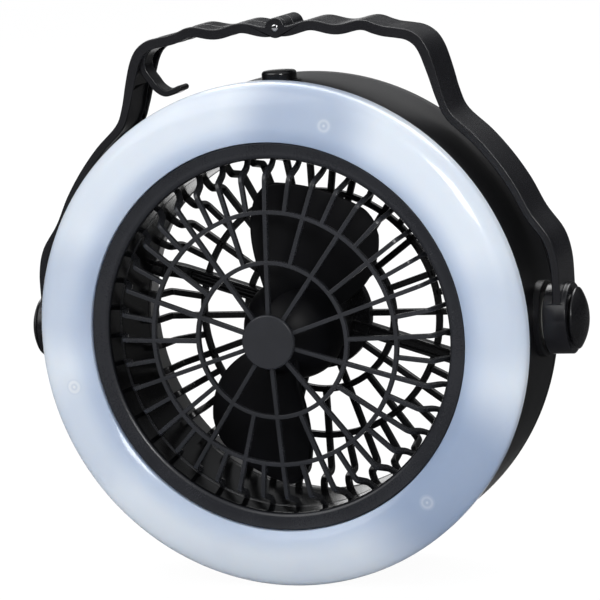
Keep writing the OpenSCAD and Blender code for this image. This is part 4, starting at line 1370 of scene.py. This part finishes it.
@dataclass
class Handle:
    """The swinging handle, a channel-section strap, with its two knobs and the hook's pin."""

    depth: float = 24.0
    front: float = 25.0
    strap: float = 3.2
    grip: float = 4.0
    skin: float = 1.7
    rim: float = 2.4
    eye: float = 14.0
    eye_start: float = 101.2
    eye_end: float = 110.5
    floor: float = 3.6
    recess: float = 7.2
    axle: float = 3.56
    pocket_foot: float = 22.0
    bridge: float = 8.0
    cut_low: float = 80.0
    cut_high: float = 140.0
    cut_depth: float = 60.0
    knob_rim: float = 12.1
    knob_rise: float = 3.6
    knob_face: float = 111.4
    knob_end: float = 108.2
    pin: float = 1.5
    pin_height: float = 118.6
    hub: float = 4.0
    slot_start: float = 27.3
    slot_width: float = 9.6
    slot_reach: float = 61.1
    arm_radius: float = 108.0
    grip_height: float = 120.1
    wave: float = 1.0
    pitch: float = 21.8
    crest: float = 14.3
    grip_half: float = 40.0
    rounding: float = 0.45

    def _grip_top(self, x: float) -> float:
        """Returns the height of the grip's top at x."""
        wave = self.wave * math.cos(FULL_TURN * (x - self.crest) / self.pitch)
        return self.grip_height - 1.5 * (x / self.grip_half) ** 6 + wave

    def line(self) -> list[Point]:
        """Returns the strap's outer line, from the right pivot over the grip to the left one."""
        shoulder = arc((0, 0), self.arm_radius, 23.5, 49.5, 4)
        arm = curve_through(
            [
                (108.5, -2), (108.5, 12), (108.2, 24), (105.6, 33.5), *shoulder, (67, 89), (64.6, 98.8),
                (62.4, 106.4), (60, 111.2), (57.2, 114), (53.8, 115.8), (49.6, 116.7), (44.6, 117.5),
                (41, 118.6),
            ],
            5,
        )
        steps = 30
        xs = [(self.grip_half - 1.5) * (1 - i / steps) for i in range(steps + 1)]
        half = arm + [(x, self._grip_top(x)) for x in xs]
        return half + [(-x, z) for x, z in half[-2::-1]]

    def _band(self, start: Callable[[Point], float], end: Callable[[Point], float]) -> list[Point]:
        """Returns the outline between two distances inside the strap's outer line."""
        line = self.line()
        one = moved(line, lambda i, p: start(p))
        other = moved(line, lambda i, p: end(p))
        return one + other[::-1]

    def _thickness(self, point: Point) -> float:
        """Returns the strap's thickness at a point of its outer line."""
        share = min(1.0, max(0.0, (point[1] - 88) / 16))
        return self.strap + (self.grip - self.strap) * share

    def _pocket(self, front: float, back: float) -> Form:
        """Returns what the channel leaves empty, between two depths."""
        outline = self._band(lambda p: self.skin, lambda p: self._thickness(p) + 1)
        pocket = Form.prism(outline, front, back)
        return pocket.less(Form.block((-200, 0, -20), (200, self.cut_depth, self.pocket_foot)))

    def strap_form(self) -> Form:
        """Returns the strap with its channel, the hook's slot and the two eyes."""
        back = self.front + self.depth
        pin, pivot, reach = (0, 0, self.pin_height), (0, PIVOT_DEPTH, 0), self.slot_reach
        start, end = self.slot_start, self.slot_start + self.slot_width
        strap = Form.prism(self._band(lambda p: 0.0, self._thickness), self.front, back)
        strap.plus(Form.rod(self.hub, self.front, back, Axis.DEPTH, pin, 48))
        arms = self._pocket(self.front + self.rim, back - self.rim)
        low, high, bridge = self.cut_low, self.cut_high, self.bridge
        arms.less(Form.block((-reach, 0, low), (reach, self.cut_depth, high)))
        middle = self._pocket(end + self.rim, back - self.rim)
        middle.less(Form.block((-bridge, 0, low), (bridge, self.cut_depth, high)))
        slot = Form.block((-reach, start, low), (self.hub, end, high))
        slot.within(Form.rod(reach, start, end, Axis.DEPTH, pin, HOOP_FACETS))
        strap.less(arms, middle, slot, Form.rod(self.hub + 0.3, start, end, Axis.DEPTH, pin, 48))
        eye = Form.rod(self.eye, self.eye_start, self.eye_end, Axis.RIGHT, pivot, DISC_FACETS)
        left = eye.mirrored()
        strap.plus(eye, left)
        seat = self.eye_start + self.floor
        for radius, start, end in ((self.axle, self.eye_start - 1, seat + 1), (self.recess, seat, 120)):
            bore = Form.rod(radius, start, end, Axis.RIGHT, pivot, 64)
            other = bore.mirrored()
            strap.less(bore, other)
        return strap

    def knob(self) -> Form:
        """Returns the right knob: a smooth dome on a neck that plugs into the handle's eye."""
        rim, rise, face, neck = self.knob_rim, self.knob_rise, self.knob_face, self.recess - 0.02
        radius = (rim * rim + rise * rise) / (2 * rise)
        dome = arc((0, face + rise + 1 - radius), radius, math.degrees(math.acos(rim / radius)), 90, 18)
        profile = [
            (0, self.knob_end), (neck, self.knob_end), (neck, self.eye_end), (rim - 2.6, self.eye_end),
            (rim - 2.6, face), (rim - 0.4, face), (rim, face + 0.4), *dome[:-1], (0, dome[-1][1]),
        ]
        form = Form.turned(profile, Axis.RIGHT, DISC_FACETS, closed=False)
        return form.moved(Matrix.Translation((0, PIVOT_DEPTH, 0))).softened(0.25, 2, 40)

    def pin_form(self) -> Form:
        """Returns the hook's pin with its domed end."""
        front, end = self.front - 0.2, self.front + 20
        profile = [
            (0, front), (self.pin * 0.6, front + 0.03), (self.pin * 0.9, front + 0.14),
            (self.pin, front + 0.4), (self.pin, end), (0, end),
        ]
        form = Form.turned(profile, Axis.DEPTH, 48, closed=False)
        return form.moved(Matrix.Translation((0, 0, self.pin_height)))

    def build(self, wardrobe: Wardrobe) -> None:
        """Builds the strap, the knobs and the pin."""
        strap = self.strap_form().softened(self.rounding, 3, 42)
        right = self.knob()
        left = right.mirrored()
        for form, name, slot, node, sharp in (
            (strap, "handle_strap", "handle_black", "handle", 32),
            (right, "pivot_knob_right", "knob_black", "knob_right", 50),
            (left, "pivot_knob_left", "knob_black", "knob_left", 50),
            (self.pin_form(), "hook_rivet", "pin_steel", "hook_pin", 50),
        ):
            wardrobe.piece(form, name, Body.HANDLE, slot, [node], sharp)


@dataclass
class Hook:
    """The hanging hook, folded into the grip's slot."""

    handle: Handle
    bar: float = 3.0
    tip: float = 2.4
    front: float = 27.6
    depth: float = 9.0
    rounding: float = 0.55

    def line(self) -> list[Point]:
        """Returns the folded hook's middle line, from its eye to its tip."""
        shank = [p for p in self.handle.line() if -39 < p[0] < 0]
        bend = curve_through(
            [(-42.4, 116.6), (-48.6, 115.4), (-53.4, 113.4), (-56.8, 110.2), (-57.9, 106.4), (-57.1, 102.9),
             (-54.9, 99.6), (-52.6, 96.5), (-49.4, 94.4), (-46.2, 94.7), (-42.9, 96)],
            5,
        )
        return moved(shank, lambda i, p: self.bar / 2 + 0.2) + bend

    def build(self, wardrobe: Wardrobe) -> None:
        """Builds the hook."""
        line = self.line()
        last = len(line) - 1
        ahead = Vector(line[last]) - Vector(line[last - 1])
        turn = math.degrees(math.atan2(ahead.y, ahead.x))

        def half(i: int, _: Point) -> float:
            """Returns half the bar's thickness at a point of its line."""
            return (self.bar + (self.tip - self.bar) * (i / last) ** 5) / 2

        outline = moved(line, half) + arc(line[last], self.tip / 2, turn + 70, turn - 70, 6)
        outline += moved(line, lambda i, p: -half(i, p))[::-1]
        end = self.front + self.depth
        at = (0, 0, self.handle.pin_height)
        form = Form.prism(outline, self.front, end)
        form.plus(Form.rod(self.handle.hub, self.front, end, Axis.DEPTH, at, 48))
        form.less(Form.rod(self.handle.pin + 0.05, self.front - 1, end + 1, Axis.DEPTH, at, 48))
        form.softened(self.rounding, 3, 42)
        wardrobe.piece(form, "folding_hook", Body.HOOK, "handle_black", ["hook"], 32)


# ---------- studio ----------


def placed(name: str, data: bpy.types.ID) -> bpy.types.Object:
    """Returns a new object of the scene that holds a mesh, a light or a camera."""
    thing = bpy.data.objects.new(name, data)
    bpy.context.scene.collection.objects.link(thing)
    return thing


@dataclass
class Studio:
    """The floor, the lights and the camera.

    Fields: the camera's angles, its distance, its lens and the place of the fan's axis in the
    picture; the cosines where the backdrop's edge starts and ends; the light of the dark walls, of
    the walls as they light the fan and of the ceiling; the floor's own light and how much of it the
    camera sees; and the soft boxes, each with its name, place, width and height, and power.
    """

    azimuth: float = 19.84
    elevation: float = 9.58
    roll: float = -4.18
    distance: float = 1.4
    focal_px: float = 3597.0
    axis_px: Point = (275.34, 338.36)
    sensor_mm: float = 36.0
    backdrop_edge: float = 0.955
    backdrop_full: float = 0.980
    dim_room: float = 0.02
    lamp_room: float = 0.33
    ceiling: float = 0.32
    ceiling_shine: float = 0.14
    floor_glow: float = 1.03
    floor_share: float = 0.94
    boxes: tuple[tuple[str, Colour, Point, float], ...] = (
        ("sky_box", (0.0, 1.1, 1.7), (2.4, 1.2), 40.0),
        ("key_box", (-1.1, -1.3, 1.5), (1.8, 1.4), 14.5),
        ("spark_box", (0.72, -1.25, 0.74), (0.42, 0.42), 8.0),
    )

    def view(self) -> Vector:
        """Returns the direction in which the camera looks at the fan."""
        turn, rise = math.radians(self.azimuth), math.radians(self.elevation)
        return Vector((-math.sin(turn) * math.cos(rise), math.cos(turn) * math.cos(rise), -math.sin(rise)))

    def camera(self) -> None:
        """Sets the camera where the photograph was taken from."""
        view, turn, roll = self.view(), math.radians(self.azimuth), math.radians(self.roll)
        right = Vector((math.cos(turn), math.sin(turn), 0.0))
        up = right.cross(view)
        across = right * math.cos(roll) + up * math.sin(roll)
        above = up * math.cos(roll) - right * math.sin(roll)
        spot = Vector((0.0, -MID_DEPTH * MM, AXIS_HEIGHT * MM)) - view * self.distance
        middle = PHOTO_PX / 2
        aside = (middle - self.axis_px[0]) / self.focal_px
        below = (self.axis_px[1] - middle) / self.focal_px
        look = (view + across * aside + above * below).normalized()
        side = look.cross(above).normalized()
        top = side.cross(look)
        data = bpy.data.cameras.new("photo_camera")
        data.sensor_width = self.sensor_mm
        data.lens = self.focal_px * self.sensor_mm / PHOTO_PX
        data.clip_start, data.clip_end = 0.05, 20.0
        data.dof.use_dof = False
        camera = placed("photo_camera", data)
        camera.matrix_world = Matrix.Translation(spot) @ Matrix((side, top, -look)).transposed().to_4x4()
        bpy.context.scene.camera = camera

    def light(self, name: str, place: Colour, size: Point, power: float) -> None:
        """Sets one soft box that faces the fan.

        Args:
            name: the light's name.
            place: where it stands, in metres.
            size: its width and height in metres.
            power: its power in watts.
        """
        data = bpy.data.lights.new(name, "AREA")
        data.shape = "RECTANGLE"
        data.size, data.size_y = size
        data.energy = power
        lamp = placed(name, data)
        aim = Vector((0.0, 0.0, AXIS_HEIGHT * MM)) - Vector(place)
        lamp.rotation_mode = "QUATERNION"
        lamp.rotation_quaternion = aim.to_track_quat("-Z", "Y")
        lamp.location = place

    def backdrop(self, graph: Graph, direction: bpy.types.NodeSocket, sign: float) -> Signal:
        """Tells how far a direction lies within the white backdrop behind the fan.

        Args:
            graph: the graph to work in.
            direction: the direction's socket.
            sign: 1 where the direction leads away from the eye, -1 where it leads to it.

        Returns:
            1 within the backdrop and 0 outside it.
        """
        values = {0: direction, 1: self.view() * sign}
        dot = graph.node("ShaderNodeVectorMath", values, operation="DOT_PRODUCT")
        return Signal(graph, dot.outputs["Value"]).ramp(self.backdrop_edge, self.backdrop_full)

    def world(self) -> None:
        """Sets a plain room: a white backdrop behind the fan, and dim walls and a soft ceiling round it."""
        world = bpy.data.worlds.new("studio")
        bpy.context.scene.world = world
        world.use_nodes = True
        graph = Graph(world.node_tree)
        shown = graph.node("ShaderNodeBackground", {"Strength": 1.0, "Color": (1.0, 1.0, 1.0, 1.0)})
        outwards = graph.node("ShaderNodeTexCoord", {}).outputs["Generated"]
        across, _, height = graph.split(outwards)
        glossy, camera, through = graph.rays("Glossy", "Camera", "Transmission")
        behind = self.backdrop(graph, outwards, 1.0)
        soft = (1.0 - across.ramp(0.0, 0.9) * 0.35) * self.lamp_room * (1.0 - glossy)
        ceiling = height.ramp(0.1, 0.9) * (glossy * self.ceiling_shine + self.ceiling)
        lit = graph.tree.nodes["Background"]
        graph.link((0.95, 0.97, 1.0, 1.0), lit.inputs["Color"])
        graph.link(soft + ceiling + self.dim_room, lit.inputs["Strength"])
        graph.blend(camera.high(through).high(glossy * behind), lit, shown, "World Output")

    def floor(self) -> None:
        """Lays a pale floor that keeps a soft shadow."""
        mesh = bmesh.new()
        bmesh.ops.create_grid(mesh, x_segments=1, y_segments=1, size=3.0)
        data = bpy.data.meshes.new("studio_floor")
        mesh.to_mesh(data)
        mesh.free()
        paint = Paint("pale_floor")
        glossy, camera = paint.rays("Glossy", "Camera")
        _, deep, _ = paint.split(paint.place)
        reflected = paint.mix(deep.ramp(-0.9, -0.25), (0.30, 0.30, 0.31), (0.045, 0.045, 0.045))
        colour = paint.mix(glossy, (0.80, 0.81, 0.83), reflected)
        paint.feed({"Base Color": colour, "Roughness": 0.8, "Specular IOR Level": 0.0})
        towards = paint.node("ShaderNodeNewGeometry", {}).outputs["Incoming"]
        behind = self.backdrop(paint, towards, -1.0)
        glow = paint.node("ShaderNodeEmission", {"Strength": self.floor_glow})
        share = camera * self.floor_share + glossy * behind
        paint.blend(share, paint.shader, glow, "Material Output")
        data.materials.append(paint.material)
        placed("studio_floor", data)

    def build(self) -> None:
        """Sets up the studio."""
        bpy.context.scene.view_settings.view_transform = "Standard"
        self.camera()
        self.world()
        self.floor()
        for box in self.boxes:
            self.light(*box)


def main() -> None:
    """Builds the dressed fan and its studio."""
    logging.basicConfig(level=logging.INFO, format="%(name)s %(message)s")
    for thing in list(bpy.data.objects):
        bpy.data.objects.remove(thing)
    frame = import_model()
    wardrobe = Wardrobe(frame["nodes"])
    handle = Handle()
    parts = [LampRing(), FrontGrille(), RearGrille(), Shell(), Impeller(), PushButton(), handle, Hook(handle)]
    for part in parts:
        part.build(wardrobe)
    wardrobe.dress(frame["record"])
    Studio().build()


if __name__ == "__main__":
    main()
